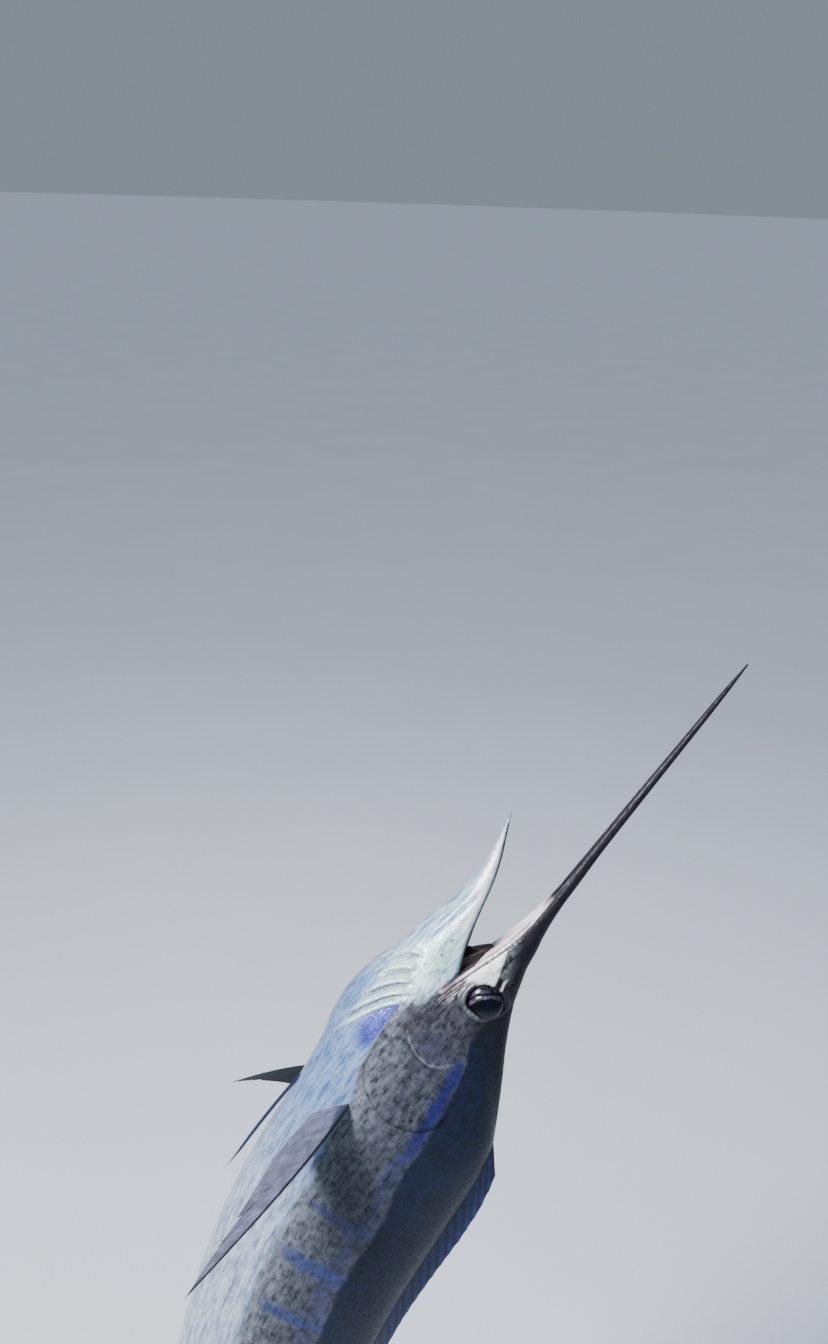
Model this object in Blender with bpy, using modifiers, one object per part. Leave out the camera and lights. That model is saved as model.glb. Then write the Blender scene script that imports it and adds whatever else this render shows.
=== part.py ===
"""Striped marlin leaping with an open mouth, a still life-size model on a display stand.

The fish is shaped along a straight line first: s runs in metres from the tip of the
closed lower jaw to the tail, y to the fish's left and z to its back, with the bill near
z = 0. lay() then bends it along the backbone, and one empty turns it into the leap.
"""
import bpy
import bmesh
import numpy as np
from math import radians, cos, sin, pi
from mathutils import Euler, Matrix, Vector

# Driving dimensions in metres
GAP = 0.0003
EYE_STATION = 0.32
EYE_S = 0.324
EYE_Z = 0.003
EYE_RADIUS = 0.034
EYE_DEPTH = 0.016
EYE_OUT = 0.0710
BILL_TIP_S = -0.46
BILL_END_S = 0.06
HEAD_END_S = 0.50
TRUNK_FRONT_END_S = 0.95
TRUNK_MID_END_S = 1.45
TRUNK_REAR_END_S = 1.95
STEM_END_S = 2.44
JAW_TIP_S = 0.025
JAW_END_S = 0.40
TAIL_HALF_SPAN = 0.43
TAIL_TIP_S = 2.70

# Backbone bends in degrees, and the lengths of s over which they happen
BEND_BACK = 20.0
BEND_BACK_FROM, BEND_BACK_TO = 0.46, 1.30
BEND_SIDE = 30.0
BEND_SIDE_FROM, BEND_SIDE_TO = 0.80, 2.30

# Pose of the fish: its eye station on the stand, and its turn
FISH_AT = Vector((0.358, 0.201, 2.416))
FISH_TURN = Euler((radians(143.01), radians(-50.97), radians(21.39)), "XYZ")

# Stand
BASE_LONG = 1.00
BASE_WIDE = 1.10
BASE_THICK = 0.040
ROD_RADIUS = 0.020
ROD_S = 1.72
ROD_SPREAD = 0.36

# Profiles along s: the back, the upper jaw's lower edge, the belly and the half width
BACK = ((-0.46, -.0076), (-0.41, -.0050), (-0.36, -.0035), (-0.26, -.0020), (-0.15, -.0004),
        (-0.03, .0018), (0.06, .0062), (0.10, .0078), (0.135, .0112), (0.17, .0165),
        (0.20, .0235), (0.235, .0295), (0.265, .0390), (0.30, .0510), (0.37, .0865),
        (0.44, .1300), (0.50, .1650), (0.55, .1900), (0.62, .2060),
        (0.75, .2110), (1.00, .2000), (1.30, .1720), (1.60, .1330), (1.80, .1030),
        (2.00, .0740), (2.20, .0490), (2.33, .0400), (2.41, .0385), (2.44, .0290))
PALATE = ((-0.46, -.0104), (-0.41, -.0130), (-0.36, -.0146), (-0.26, -.0160),
          (-0.15, -.0178), (-0.03, -.0190), (0.06, -.0200), (0.10, -.0213), (0.12, -.0235),
          (0.143, -.0272), (0.165, -.0308), (0.1925, -.0370), (0.211, -.0412),
          (0.2335, -.0465), (0.26, -.0545), (0.30, -.0670), (0.36, -.0780),
          (0.42, -.1180), (0.51, -.1300))
BELLY = ((0.25, -.145), (0.30, -.162), (0.36, -.185), (0.42, -.206), (0.49, -.212),
         (0.54, -.205), (0.60, -.190), (0.70, -.180), (0.85, -.180), (1.00, -.176),
         (1.30, -.158), (1.60, -.130), (1.80, -.105), (2.00, -.079), (2.20, -.051),
         (2.33, -.040), (2.41, -.0385), (2.44, -.0290))
HALF = ((-0.46, .0014), (-0.41, .0046), (-0.36, .0064), (-0.26, .0082), (-0.15, .0100),
        (-0.03, .0125), (0.06, .0175), (0.11, .0240), (0.16, .0330), (0.21, .0430),
        (0.28, .0570), (0.32, .0650), (0.36, .0720), (0.42, .0850), (0.50, .0970),
        (0.60, .1040), (0.75, .1070), (0.95, .1040), (1.20, .0950), (1.50, .0800),
        (1.80, .0600), (2.00, .0450), (2.20, .0310), (2.33, .0260), (2.41, .0225), (2.44, .0120))
# Height of a section's widest place
MIDDLE = ((-0.46, -.0090), (0.06, -.0070), (0.10, -.0068), (0.15, -.0060), (0.24, -.0075),
          (0.30, -.014), (0.36, -.022), (0.50, -.021), (0.62, -.006), (0.90, .010),
          (1.30, .007), (1.60, .001), (2.00, -.002), (2.44, 0.0))
# Power of the upper half of a section: a lower one makes a sharper back
RIDGE = ((-0.46, 2.0), (0.20, 2.0), (0.42, 1.7), (0.90, 1.75), (1.60, 2.0), (2.44, 2.0))
# The open lower jaw: its rim, its underside and its half width
JAW_RIM = ((0.025, -.174), (0.07, -.152), (0.108, -.134), (0.154, -.117), (0.193, -.107),
           (0.2455, -.0925), (0.282, -.0800), (0.322, -.0660), (0.37, -.0640), (0.40, -.0640))
JAW_UNDER = ((0.025, -.176), (0.045, -.1725), (0.078, -.1640), (0.1075, -.1585), (0.143, -.1555),
             (0.173, -.1560), (0.229, -.1620), (0.2745, -.1755), (0.33, -.190), (0.37, -.197),
             (0.40, -.203))
JAW_HALF = ((0.025, .001), (0.07, .0095), (0.108, .016), (0.154, .025), (0.193, .034),
            (0.2455, .044), (0.30, .052), (0.335, .056), (0.40, .067))
# Free edge of the gill cover, as s and z, from below the cheek round to its top
GILL_EDGE = ((0.400, -.127), (0.440, -.118), (0.480, -.1105), (0.515, -.106), (0.545, -.099),
             (0.572, -.080), (0.589, -.048), (0.597, -.012), (0.592, .022), (0.575, .050),
             (0.550, .069), (0.520, .0755), (0.490, .073))

COLOURS = {
    "bill_skin": ((0.045, 0.032, 0.045), 0.35),
    "head_skin": ((0.10, 0.09, 0.10), 0.35),
    "jaw_skin": ((0.62, 0.72, 0.69), 0.35),
    "throat_skin": ((0.52, 0.64, 0.66), 0.35),
    "mouth_lining_skin": ((0.04, 0.035, 0.04), 0.45),
    "gill_cover_skin": ((0.12, 0.12, 0.16), 0.30),
    "trunk_front_skin": ((0.09, 0.12, 0.24), 0.30),
    "trunk_mid_skin": ((0.09, 0.12, 0.24), 0.30),
    "trunk_rear_skin": ((0.09, 0.12, 0.24), 0.30),
    "tail_stem_skin": ((0.07, 0.09, 0.17), 0.30),
    "fin_skin": ((0.03, 0.035, 0.10), 0.40),
    "pale_fin_skin": ((0.20, 0.19, 0.24), 0.40),
    "eye_surface": ((0.01, 0.012, 0.03), 0.08),
    "base_paint": ((0.03, 0.03, 0.032), 0.55),
    "rod_steel": ((0.55, 0.55, 0.56), 0.30),
}


def curve(table, x):
    """Smooth curve through the table's points, without overshoot."""
    xs, ys = np.array(table, float).T
    step = np.diff(ys) / np.diff(xs)
    slope = np.zeros_like(ys)
    turn = step[:-1] * step[1:]
    mean = 2 * turn / np.where(turn > 0, step[:-1] + step[1:], 1)
    slope[1:-1] = np.where(turn > 0, mean, 0)
    slope[0], slope[-1] = step[0], step[-1]
    x = np.clip(np.asarray(x, float), xs[0], xs[-1])
    i = np.clip(np.searchsorted(xs, x) - 1, 0, len(xs) - 2)
    h = xs[i + 1] - xs[i]
    u = (x - xs[i]) / h
    return ((2 * u**3 - 3 * u**2 + 1) * ys[i] + (u**3 - 2 * u**2 + u) * h * slope[i]
            + (3 * u**2 - 2 * u**3) * ys[i + 1] + (u**3 - u**2) * h * slope[i + 1])


def backbone():
    """Stations, centres and side and back directions of the bent backbone."""
    s = np.linspace(BEND_BACK_FROM, 3.0, 300)
    ds = s[1] - s[0]

    def share(s0, s1):
        u = np.clip((s - s0) / (s1 - s0), 0, 1)
        return 6 * u * (1 - u) / (s1 - s0) * ds

    back = radians(BEND_BACK) * share(BEND_BACK_FROM, BEND_BACK_TO)
    side = radians(BEND_SIDE) * share(BEND_SIDE_FROM, BEND_SIDE_TO)
    along, left, up = np.eye(3)
    at = along * s[0]
    rows = [(at, left, up)]
    for b, w in zip(back[1:], side[1:]):
        nxt = along + up * b - left * w
        nxt = nxt / np.linalg.norm(nxt)
        left = left + along * w
        left = left - nxt * (left @ nxt)
        left = left / np.linalg.norm(left)
        at = at + (along + nxt) / 2 * ds
        along = nxt
        up = np.cross(along, left)
        rows.append((at, left, up))
    return (s,) + tuple(np.array(column) for column in zip(*rows))


BACKBONE = backbone()


def lay(points):
    """Straight s, y, z to the fish's own axes: x forward from the eye, y left, z back."""
    p = np.asarray(points, float).reshape(-1, 3)
    s, at, left, up = BACKBONE

    def along(rows):
        return np.stack([np.interp(p[:, 0], s, rows[:, k]) for k in range(3)], 1)

    bent = along(at) + p[:, 1:2] * along(left) + p[:, 2:3] * along(up)
    out = np.where(p[:, :1] > s[0], bent, p)
    return np.stack([EYE_STATION - out[:, 0], out[:, 1], out[:, 2]], 1)


def section(s, around, low, foot=2.25):
    """Ring of points round the body at s, from the back over the left side."""
    top, wide = curve(BACK, s), curve(HALF, s)
    mid = curve(MIDDLE, s)
    c, w = np.cos(around), np.sin(around)
    y = wide * np.sign(w) * np.abs(w) ** 0.9
    upper = mid + (top - mid) * np.abs(c) ** (2 / curve(RIDGE, s))
    lower = mid - (mid - low) * np.abs(c) ** (2 / foot)
    return np.stack([s + 0 * y, y, np.where(c > 0, upper, lower)], 1)


def turns(count):
    return np.linspace(0, 2 * pi, count, endpoint=False)


def rig(name):
    """A collection of that name in the scene."""
    group = bpy.data.collections.new(name)
    bpy.context.scene.collection.children.link(group)
    return group


def finish(name):
    """A Principled material with the named colour and roughness."""
    colour, rough = COLOURS[name]
    mat = bpy.data.materials.new(name)
    mat.use_nodes = True
    shader = mat.node_tree.nodes["Principled BSDF"]
    shader.inputs["Base Color"].default_value = (*colour, 1)
    shader.inputs["Roughness"].default_value = rough
    if name == "rod_steel":
        shader.inputs["Metallic"].default_value = 1
    mat.diffuse_color = (*colour, 1)
    return mat


def add(name, points, faces, slot):
    """A smooth object of the given faces in the part's collection."""
    mesh = bpy.data.meshes.new(name)
    mesh.from_pydata([tuple(p) for p in points], [], [tuple(f) for f in faces])
    bm = bmesh.new()
    bm.from_mesh(mesh)
    bmesh.ops.triangulate(bm, faces=bm.faces, quad_method="SHORT_EDGE",
                          ngon_method="EAR_CLIP")
    bmesh.ops.recalc_face_normals(bm, faces=bm.faces)
    if bm.calc_volume(signed=True) < 0:
        bmesh.ops.reverse_faces(bm, faces=bm.faces)
    bm.to_mesh(mesh)
    bm.free()
    mesh.shade_smooth()
    mesh.set_sharp_from_angle(angle=radians(38))
    mesh.materials.append(finish(slot))
    obj = bpy.data.objects.new(name, mesh)
    PART.objects.link(obj)
    return obj


def loft(name, rings, slot):
    """Faces between rings, closed at each end."""
    count = len(rings[0])
    points = [p for ring in rings for p in ring]
    faces = []
    for i in range(len(rings) - 1):
        for j in range(count):
            k = (j + 1) % count
            a, b = i * count, (i + 1) * count
            faces.append((a + j, a + k, b + k, b + j))
    faces.append(range(count))
    faces.append(range(len(points) - count, len(points)))
    obj = add(name, lay(points), faces, slot)
    SHELLS[name] = grown(obj)
    return obj


def blade(name, roots, ends, slot, thick, rows=6, ray=0.0006, rise=None):
    """A fin: rays run from roots to ends, thick at the root, with ridges for the rays.

    roots and ends are straight points, one pair for each ray and each groove between two
    rays. Both faces are split into the same triangles.
    """
    roots, ends = np.array(roots, float), np.array(ends, float)
    cols = len(roots)
    u = np.linspace(0, 1, rows)[:, None, None]
    mid = roots * (1 - u) + ends * u
    if rise is not None:
        mid = mid + np.array(rise) * (4 * u * (1 - u))
    mid = lay(mid).reshape(rows, cols, 3)
    du = np.gradient(mid, axis=0)
    dk = np.gradient(mid, axis=1)
    face = np.cross(du, dk)
    face = face / np.maximum(np.linalg.norm(face, axis=2, keepdims=True), 1e-9)
    k = np.linspace(0, 1, cols)[None, :]
    r = np.linspace(0, 1, rows)[:, None]
    body = (thick / 2 - 0.0006) * (1 - r) ** 1.2 * np.sin(pi * np.clip(k * 0.8 + 0.12, 0, 1)) ** 0.6
    ridges = ray * (np.arange(cols) % 2 == 0)[None, :] * (1 - 0.5 * r)
    inside = (k > 0) & (k < 1) & (r < 1)
    half = 0.0006 + body + ridges * inside
    layers = [mid + face * half[..., None], mid - face * half[..., None]]
    points = np.concatenate([layer.reshape(-1, 3) for layer in layers])
    size = rows * cols
    faces = []
    for i in range(rows - 1):
        for j in range(cols - 1):
            a, b, c, d = i * cols + j, i * cols + j + 1, (i + 1) * cols + j + 1, (i + 1) * cols + j
            for tri in ((a, b, c), (a, c, d)):
                faces.append(tri)
                faces.append(tuple(size + v for v in tri))
    rim = [j for j in range(cols)] + [i * cols + cols - 1 for i in range(1, rows)]
    rim += [(rows - 1) * cols + j for j in range(cols - 2, -1, -1)]
    rim += [i * cols for i in range(rows - 2, 0, -1)]
    for a, b in zip(rim, rim[1:] + rim[:1]):
        faces.append((a, b, size + b))
        faces.append((a, size + b, size + a))
    return add(name, points, faces, slot)


def grown(obj):
    """A cutter like obj, larger all round by the gap."""
    mesh = obj.data.copy()
    cutter = bpy.data.objects.new(obj.name + "_cutter", mesh)
    bm = bmesh.new()
    bm.from_mesh(mesh)
    bm.normal_update()
    moves = [v.normal * GAP for v in bm.verts]
    for v, move in zip(bm.verts, moves):
        v.co += move
    bm.to_mesh(mesh)
    bm.free()
    cutter.matrix_world = obj.matrix_world
    cutter.hide_render = True
    cutter.display_type = "WIRE"
    CUTTERS.objects.link(cutter)
    return cutter


def closed(mesh):
    """Whether the mesh has faces, two at every edge."""
    bm = bmesh.new()
    bm.from_mesh(mesh)
    sound = len(bm.faces) > 0 and all(len(edge.link_faces) == 2 for edge in bm.edges)
    bm.free()
    return sound


def trim(obj, *others):
    """Takes the others' grown shells out of obj and keeps its largest piece."""
    for cutter in others:
        step = obj.modifiers.new("trim", "BOOLEAN")
        step.operation = "DIFFERENCE"
        step.object = cutter
        for solver in ("EXACT", "MANIFOLD"):
            step.solver = solver
            bpy.context.view_layer.update()
            done = obj.evaluated_get(bpy.context.evaluated_depsgraph_get())
            mesh = bpy.data.meshes.new_from_object(done)
            if closed(mesh):
                break
        obj.modifiers.clear()
        obj.data = mesh
        mesh.name = obj.name
    bm = bmesh.new()
    bm.from_mesh(obj.data)
    left = set(bm.faces)
    pieces = []
    while left:
        piece = {left.pop()}
        front = list(piece)
        while front:
            for edge in front.pop().edges:
                for face in edge.link_faces:
                    if face in left:
                        left.discard(face)
                        piece.add(face)
                        front.append(face)
        pieces.append(piece)
    pieces.sort(key=lambda faces: -sum(f.calc_area() for f in faces))
    spare = [f for piece in pieces[1:] for f in piece]
    bmesh.ops.delete(bm, geom=spare, context="FACES")
    bm.to_mesh(obj.data)
    bm.free()
    obj.data.set_sharp_from_angle(angle=radians(38))


def main_body():
    """Bill, head, jaw, throat, trunk and tail stem."""
    fish = {}
    low = lambda s: curve(PALATE, s)
    stations = (BILL_TIP_S, -0.44, -0.40, -0.34, -0.26, -0.17, -0.09, -0.02, BILL_END_S - GAP)
    rings = [section(s, turns(16), low(s), 2.0) for s in stations]
    fish["bill"] = loft("bill", rings, "bill_skin")

    stations = np.r_[BILL_END_S, 0.09:0.27:7j, 0.295, 0.32, 0.345, 0.37, 0.40, 0.43, 0.465,
                     HEAD_END_S]
    rings = [section(s, turns(32), low(s), np.interp(s, (0.06, 0.2), (2.0, 3.0)))
             for s in stations]
    fish["head"] = loft("head", rings, "head_skin")

    lengths = (("trunk_front", HEAD_END_S, TRUNK_FRONT_END_S, 8),
               ("trunk_mid", TRUNK_FRONT_END_S, TRUNK_MID_END_S, 7),
               ("trunk_rear", TRUNK_MID_END_S, TRUNK_REAR_END_S, 7))
    for name, s0, s1, count in lengths:
        stations = np.linspace(s0 + GAP, s1, count)
        rings = [section(s, turns(32), curve(BELLY, s)) for s in stations]
        fish[name] = loft(name, rings, name + "_skin")

    stations = np.r_[TRUNK_REAR_END_S + GAP, 2.02:2.41:9j, STEM_END_S]
    rings = []
    for s in stations:
        ring = section(s, turns(36), curve(BELLY, s))
        reach = np.interp(s, (2.16, 2.28, 2.38, 2.44), (0, 1, 1, 0.3))
        around = np.degrees(turns(36))
        for edge in (70, 110, 250, 290):
            spot = np.abs(around - edge) < 1
            ring[spot, 1] *= 1 + 0.50 * reach
        rings.append(ring)
    fish["tail_stem"] = loft("tail_stem", rings, "tail_stem_skin")
    return fish


def mouth_and_throat(fish):
    """The open lower jaw, the mouth's dark lining and the folded throat."""
    t = np.linspace(0, pi, 11)
    rings = []
    for s in np.r_[JAW_TIP_S, 0.045, 0.07:0.33:9j, 0.365, JAW_END_S]:
        rim, under, wide = curve(JAW_RIM, s), curve(JAW_UNDER, s), curve(JAW_HALF, s)
        outer = np.stack([s + 0 * t, wide * np.cos(t), rim - (rim - under) * np.sin(t) ** 0.8], 1)
        deep = 0.42 * (rim - under)
        inner = np.stack([s + 0 * t, -wide * 0.93 * np.cos(t), rim - deep * np.sin(t)], 1)
        rings.append(np.concatenate([outer, inner[1:-1]]))
    fish["lower_jaw"] = loft("lower_jaw", rings, "jaw_skin")
    trim(fish["lower_jaw"], SHELLS["head"])

    turn = turns(28)
    rings = []
    for i, q in enumerate(np.linspace(0.36, 0.575, 13)):
        fold = 0.0022 * (1 if i % 2 else -1) * np.interp(q, (0.36, 0.39, 0.52, 0.57), (0, 1, 1, 0))
        s = q + 0 * turn
        for _ in range(3):
            s = q - 0.6 * (throat_ring(s, turn, 0)[:, 2] + 0.13)
        rings.append(throat_ring(s, turn, fold))
    fish["throat"] = loft("throat", rings, "throat_skin")
    trim(fish["throat"], SHELLS["head"], SHELLS["lower_jaw"], SHELLS["trunk_front"])

    rings = []
    for s, share in ((0.256, 0.74), (0.334, 0.80), (0.342, 0.80), (0.350, 0.80)):
        wide = curve(HALF, s) * share
        top, low = curve(PALATE, s) + 0.020, curve(JAW_RIM, s) - 0.038
        y = wide * np.cos(turns(16))
        z = (top + low) / 2 + (top - low) / 2 * np.sin(turns(16))
        lean = 0.058 * (0.70 - np.clip(np.sin(turns(16)), -0.3, 0.8))
        back = (0.012 * (1 - (y / wide) ** 2) + lean) * (s < 0.27)
        rings.append(np.stack([s + back, y, z], 1))
    fish["mouth_lining"] = loft("mouth_lining", rings, "mouth_lining_skin")
    trim(fish["mouth_lining"], SHELLS["head"], SHELLS["lower_jaw"], SHELLS["throat"])


def throat_ring(s, turn, fold):
    """Section of the throat, drawn in at the top where it goes under the head."""
    low = curve(BELLY, s)
    wide = curve(HALF, s) * np.interp(s, (0.30, 0.38, 0.46), (0.78, 0.90, 0.97))
    top = -0.060
    mid = low + (top - low) * 0.55
    c, w = np.cos(turn), np.sin(turn)
    y = (wide + fold) * np.sign(w) * np.abs(w) ** 0.85
    z = np.where(c > 0, mid + (top - mid) * np.abs(c), mid - (mid - low + fold) * np.abs(c) ** 0.9)
    return np.stack([s, y, z], 1)


def face_forms(fish):
    """Eyes in their sockets, nostrils and gill covers."""
    for side, sign in (("left", 1), ("right", -1)):
        at = Vector((EYE_STATION - EYE_S, sign * (EYE_OUT - EYE_DEPTH), EYE_Z))
        bm = bmesh.new()
        flat = Matrix.Diagonal((EYE_RADIUS, EYE_RADIUS, EYE_DEPTH, 1))
        turned = Matrix.Translation(at) @ Matrix.Rotation(radians(90), 4, "X") @ flat
        bmesh.ops.create_uvsphere(bm, u_segments=20, v_segments=10, radius=1, matrix=turned)
        points = [v.co[:] for v in bm.verts]
        faces = [[v.index for v in f.verts] for f in bm.faces]
        bm.free()
        eye = add("eye_" + side, points, faces, "eye_surface")
        fish["eye_" + side] = eye
        trim(fish["head"], grown(eye))
    for side, sign in (("left", 1), ("right", -1)):
        for s, z in ((0.276, 0.020), (0.268, 0.024)):
            at = Vector((EYE_STATION - s, sign * (surface_y(s, z, curve(PALATE, s), 3.0) + 0.001), z))
            bm = bmesh.new()
            shape = Matrix.Translation(at) @ Matrix.Diagonal((0.0045, 0.003, 0.0025, 1))
            bmesh.ops.create_uvsphere(bm, u_segments=8, v_segments=6, radius=1, matrix=shape)
            mesh = bpy.data.meshes.new("nostril")
            bm.to_mesh(mesh)
            bm.free()
            dimple = bpy.data.objects.new("dimple_cutter", mesh)
            dimple.hide_render = True
            dimple.display_type = "WIRE"
            CUTTERS.objects.link(dimple)
            trim(fish["head"], dimple)


def surface_y(s, z, low, foot=2.25):
    """Half width of the body's surface at s and z."""
    mid = curve(MIDDLE, s)
    high = curve(BACK, s) - mid
    up = np.clip((z - mid) / high, 0, 1) ** curve(RIDGE, s)
    down = np.clip((mid - z) / (mid - low), 0, 1) ** foot
    return curve(HALF, s) * np.sqrt(np.clip(1 - np.where(z > mid, up, down), 0, 1)) ** 0.9


def gill_covers(fish):
    """A raised plate over each cheek's rear, free at its hind edge like a flap."""
    edge = np.array(GILL_EDGE)
    v = np.linspace(0, 1, len(edge))[:, None]
    u = np.linspace(0, 1, 7)[None, :]
    centre = np.array((0.455, -0.030))
    inner = centre + (edge - centre) * np.interp(v, (0, 0.35, 1), (0.40, 0.12, 0.12))
    s = inner[:, :1] * (1 - u) + edge[:, :1] * u
    z = inner[:, 1:] * (1 - u) + edge[:, 1:] * u
    y = surface_y(s, z, curve(BELLY, s))
    rise = 0.0020 + 0.0036 * u ** 1.5 * np.sin(pi * (0.04 + 0.92 * v)) ** 0.5
    outer = np.stack([s, y + rise, z], 2)
    inner = np.stack([s, y - 0.004, z], 2)
    left = plate("gill_cover_left", outer, inner, "gill_cover_skin")
    trim(left, SHELLS["head"], SHELLS["trunk_front"], SHELLS["throat"])
    fish["gill_cover_left"] = left
    fish["gill_cover_right"] = mirrored(left, "gill_cover_right")


def mirrored(obj, name):
    """The other side's copy of obj, where the backbone has no bend to the side."""
    mesh = obj.data.copy()
    mesh.name = name
    mesh.transform(Matrix.Diagonal((1, -1, 1, 1)))
    mesh.flip_normals()
    other = bpy.data.objects.new(name, mesh)
    PART.objects.link(other)
    return other


def plate(name, outer, inner, slot):
    """A closed shell between two like grids, split alike on both faces."""
    rows, cols = outer.shape[:2]
    size = rows * cols
    points = lay(np.concatenate([outer.reshape(-1, 3), inner.reshape(-1, 3)]))
    faces = []
    for i in range(rows - 1):
        for j in range(cols - 1):
            a, b, c, d = i * cols + j, i * cols + j + 1, (i + 1) * cols + j + 1, (i + 1) * cols + j
            for tri in ((a, b, c), (a, c, d)):
                faces.append(tri)
                faces.append(tuple(size + v for v in tri))
    rim = [j for j in range(cols)] + [i * cols + cols - 1 for i in range(1, rows)]
    rim += [(rows - 1) * cols + j for j in range(cols - 2, -1, -1)]
    rim += [i * cols for i in range(rows - 2, 0, -1)]
    for a, b in zip(rim, rim[1:] + rim[:1]):
        faces.append((a, b, size + b))
        faces.append((a, size + b, size + a))
    return add(name, points, faces, slot)


def fins(fish):
    """Every fin, each trimmed to meet the skin that it grows from."""
    trunk = [SHELLS[name] for name in ("trunk_front", "trunk_mid", "trunk_rear")]

    for side, sign, high, reach in (("left", 1, -0.078, (0.228, 0.385, -0.052)),
                                    ("right", -1, -0.086, (0.290, -0.270, -0.220))):
        k = np.linspace(0, 1, 21)[:, None]
        root = np.array((0.622, sign * 0.094, high))
        chord = np.array((0.0614, sign * -0.014, -0.043))
        length = 1 - 0.74 * k ** 0.85
        roots = root + chord * k - np.array(reach) * 0.05
        ends = root + chord * k + np.array(reach) * length
        bow = chord * -0.30 * (1 - k) ** 1.5
        name = "pectoral_fin_" + side
        fish[name] = blade(name, roots, ends, "pale_fin_skin", 0.010, 9, 0.0008, bow)
        trim(fish[name], trunk[0])

    k = np.linspace(0, 1, 5)[:, None]
    root = np.array((0.600, 0.014, -0.172))
    reach = np.array((0.270, 0.030, -0.034))
    roots = root + np.array((0.022, 0, 0)) * k
    ends = root + np.array((0.014, 0, 0.003)) * k + reach * (1 - 0.22 * k)
    left = blade("pelvic_fin_left", roots, ends, "fin_skin", 0.005, 7, 0.0004)
    trim(left, trunk[0])
    fish["pelvic_fin_left"] = left
    fish["pelvic_fin_right"] = mirrored(left, "pelvic_fin_right")

    for part, s0, s1 in (("front", 0.49, 0.90), ("mid", 0.9004, 1.38), ("rear", 1.3804, 1.89)):
        s = np.linspace(s0, s1, 11)
        k = (s - 0.49) / 1.40
        roots = np.stack([s, 0 * s, curve(BACK, s) - 0.012], 1)
        back = s + 0.10 - 0.075 * k
        height = np.interp(k, (0, 0.06, 0.12, 0.3, 1), (0.026, 0.034, 0.034, 0.024, 0.012))
        ends = np.stack([back, 0 * s, curve(BACK, back) + height], 1)
        name = "dorsal_fin_first_" + part
        fish[name] = blade(name, roots, ends, "fin_skin", 0.009, 4, 0.0009)
        trim(fish[name], *trunk)

    small = (("dorsal_fin_second", 2.02, 0.075, 1, (0.095, 0.048), 0.62, "tail_stem"),
             ("anal_fin_second", 2.00, 0.080, -1, (0.095, 0.048), 0.62, "tail_stem"),
             ("anal_fin_first", 1.50, 0.24, -1, (0.150, 0.190), 0.92, "trunk_rear"))
    for name, start, base, up, tall, fall, on in small:
        k = np.linspace(0, 1, 17)
        s = start + base * k
        skin = curve(BACK, s) if up > 0 else -curve(BELLY, s)
        roots = np.stack([s, 0 * s, up * (skin - 0.012)], 1)
        length = 1 - fall * k ** 0.55
        trail = 0.10 * np.clip(k - 0.85, 0, 1) / 0.15 * (tall[0] < 0.1)
        ends = np.stack([s + tall[0] * length + trail, 0 * s,
                         up * (skin + tall[1] * length)], 1)
        fish[name] = blade(name, roots, ends, "fin_skin", 0.006, 6, 0.0006)
        trim(fish[name], SHELLS[on])

    for name, up in (("caudal_fin_upper", 1), ("caudal_fin_lower", -1)):
        k = np.linspace(0, 1, 21)
        roots = np.stack([2.350 + 0.058 * k, 0 * k, up * (0.030 - 0.0297 * k ** 1.2)], 1)
        length = 1 - k ** 0.62
        ends_s = 2.475 + (TAIL_TIP_S - 2.475) * length ** 1.5
        ends_z = 0.0003 + TAIL_HALF_SPAN * length
        ends = np.stack([ends_s, 0 * k, up * ends_z], 1)
        bow = np.stack([-0.040 * (1 - k) ** 1.5, 0 * k, up * 0.022 * (1 - k)], 1)
        fish[name] = blade(name, roots, ends, "fin_skin", 0.016, 9, 0.0010, bow)
        trim(fish[name], SHELLS["tail_stem"])


def stand(fish, place):
    """A flat base and two slanted rods that reach the flanks."""
    bm = bmesh.new()
    size = Matrix.Diagonal((BASE_LONG, BASE_WIDE, BASE_THICK, 1))
    bmesh.ops.create_cube(bm, size=1, matrix=Matrix.Translation((0, 0, BASE_THICK / 2)) @ size)
    mesh = bpy.data.meshes.new("stand_base")
    bm.to_mesh(mesh)
    bm.free()
    base = bpy.data.objects.new("stand_base", mesh)
    mesh.materials.append(finish("base_paint"))
    PART.objects.link(base)
    bevel = base.modifiers.new("edges", "BEVEL")
    bevel.width = 0.004
    bevel.segments = 2

    turn = place.matrix_world
    hold = turn @ Vector(lay((ROD_S, 0, 0))[0])
    for name, sign in (("stand_rod_left", 1), ("stand_rod_right", -1)):
        side = turn @ Vector(lay((ROD_S, sign * ROD_SPREAD, 0))[0])
        foot = Vector((side.x, side.y, BASE_THICK + GAP))
        top = hold + (hold - foot).normalized() * -0.010
        lean = (top - foot).to_track_quat("Z", "Y").to_matrix().to_4x4()
        length = (top - foot).length
        bm = bmesh.new()
        shape = Matrix.Translation((foot + top) / 2) @ lean
        bmesh.ops.create_cone(bm, cap_ends=True, segments=24, radius1=ROD_RADIUS,
                              radius2=ROD_RADIUS, depth=length + 0.06, matrix=shape)
        mesh = bpy.data.meshes.new(name)
        bm.to_mesh(mesh)
        bm.free()
        mesh.shade_smooth()
        mesh.set_sharp_from_angle(angle=radians(38))
        mesh.materials.append(finish("rod_steel"))
        rod = bpy.data.objects.new(name, mesh)
        PART.objects.link(rod)
        trim(rod, grown(fish["trunk_rear"]), grown(base))


def build():
    """Everything, in its place."""
    fish = main_body()
    mouth_and_throat(fish)
    face_forms(fish)
    gill_covers(fish)
    fins(fish)
    place = bpy.data.objects.new("fish_place", None)
    PART.objects.link(place)
    place.location = FISH_AT
    place.rotation_euler = FISH_TURN
    for obj in fish.values():
        obj.parent = place
    bpy.context.view_layer.update()
    stand(fish, place)


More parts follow.
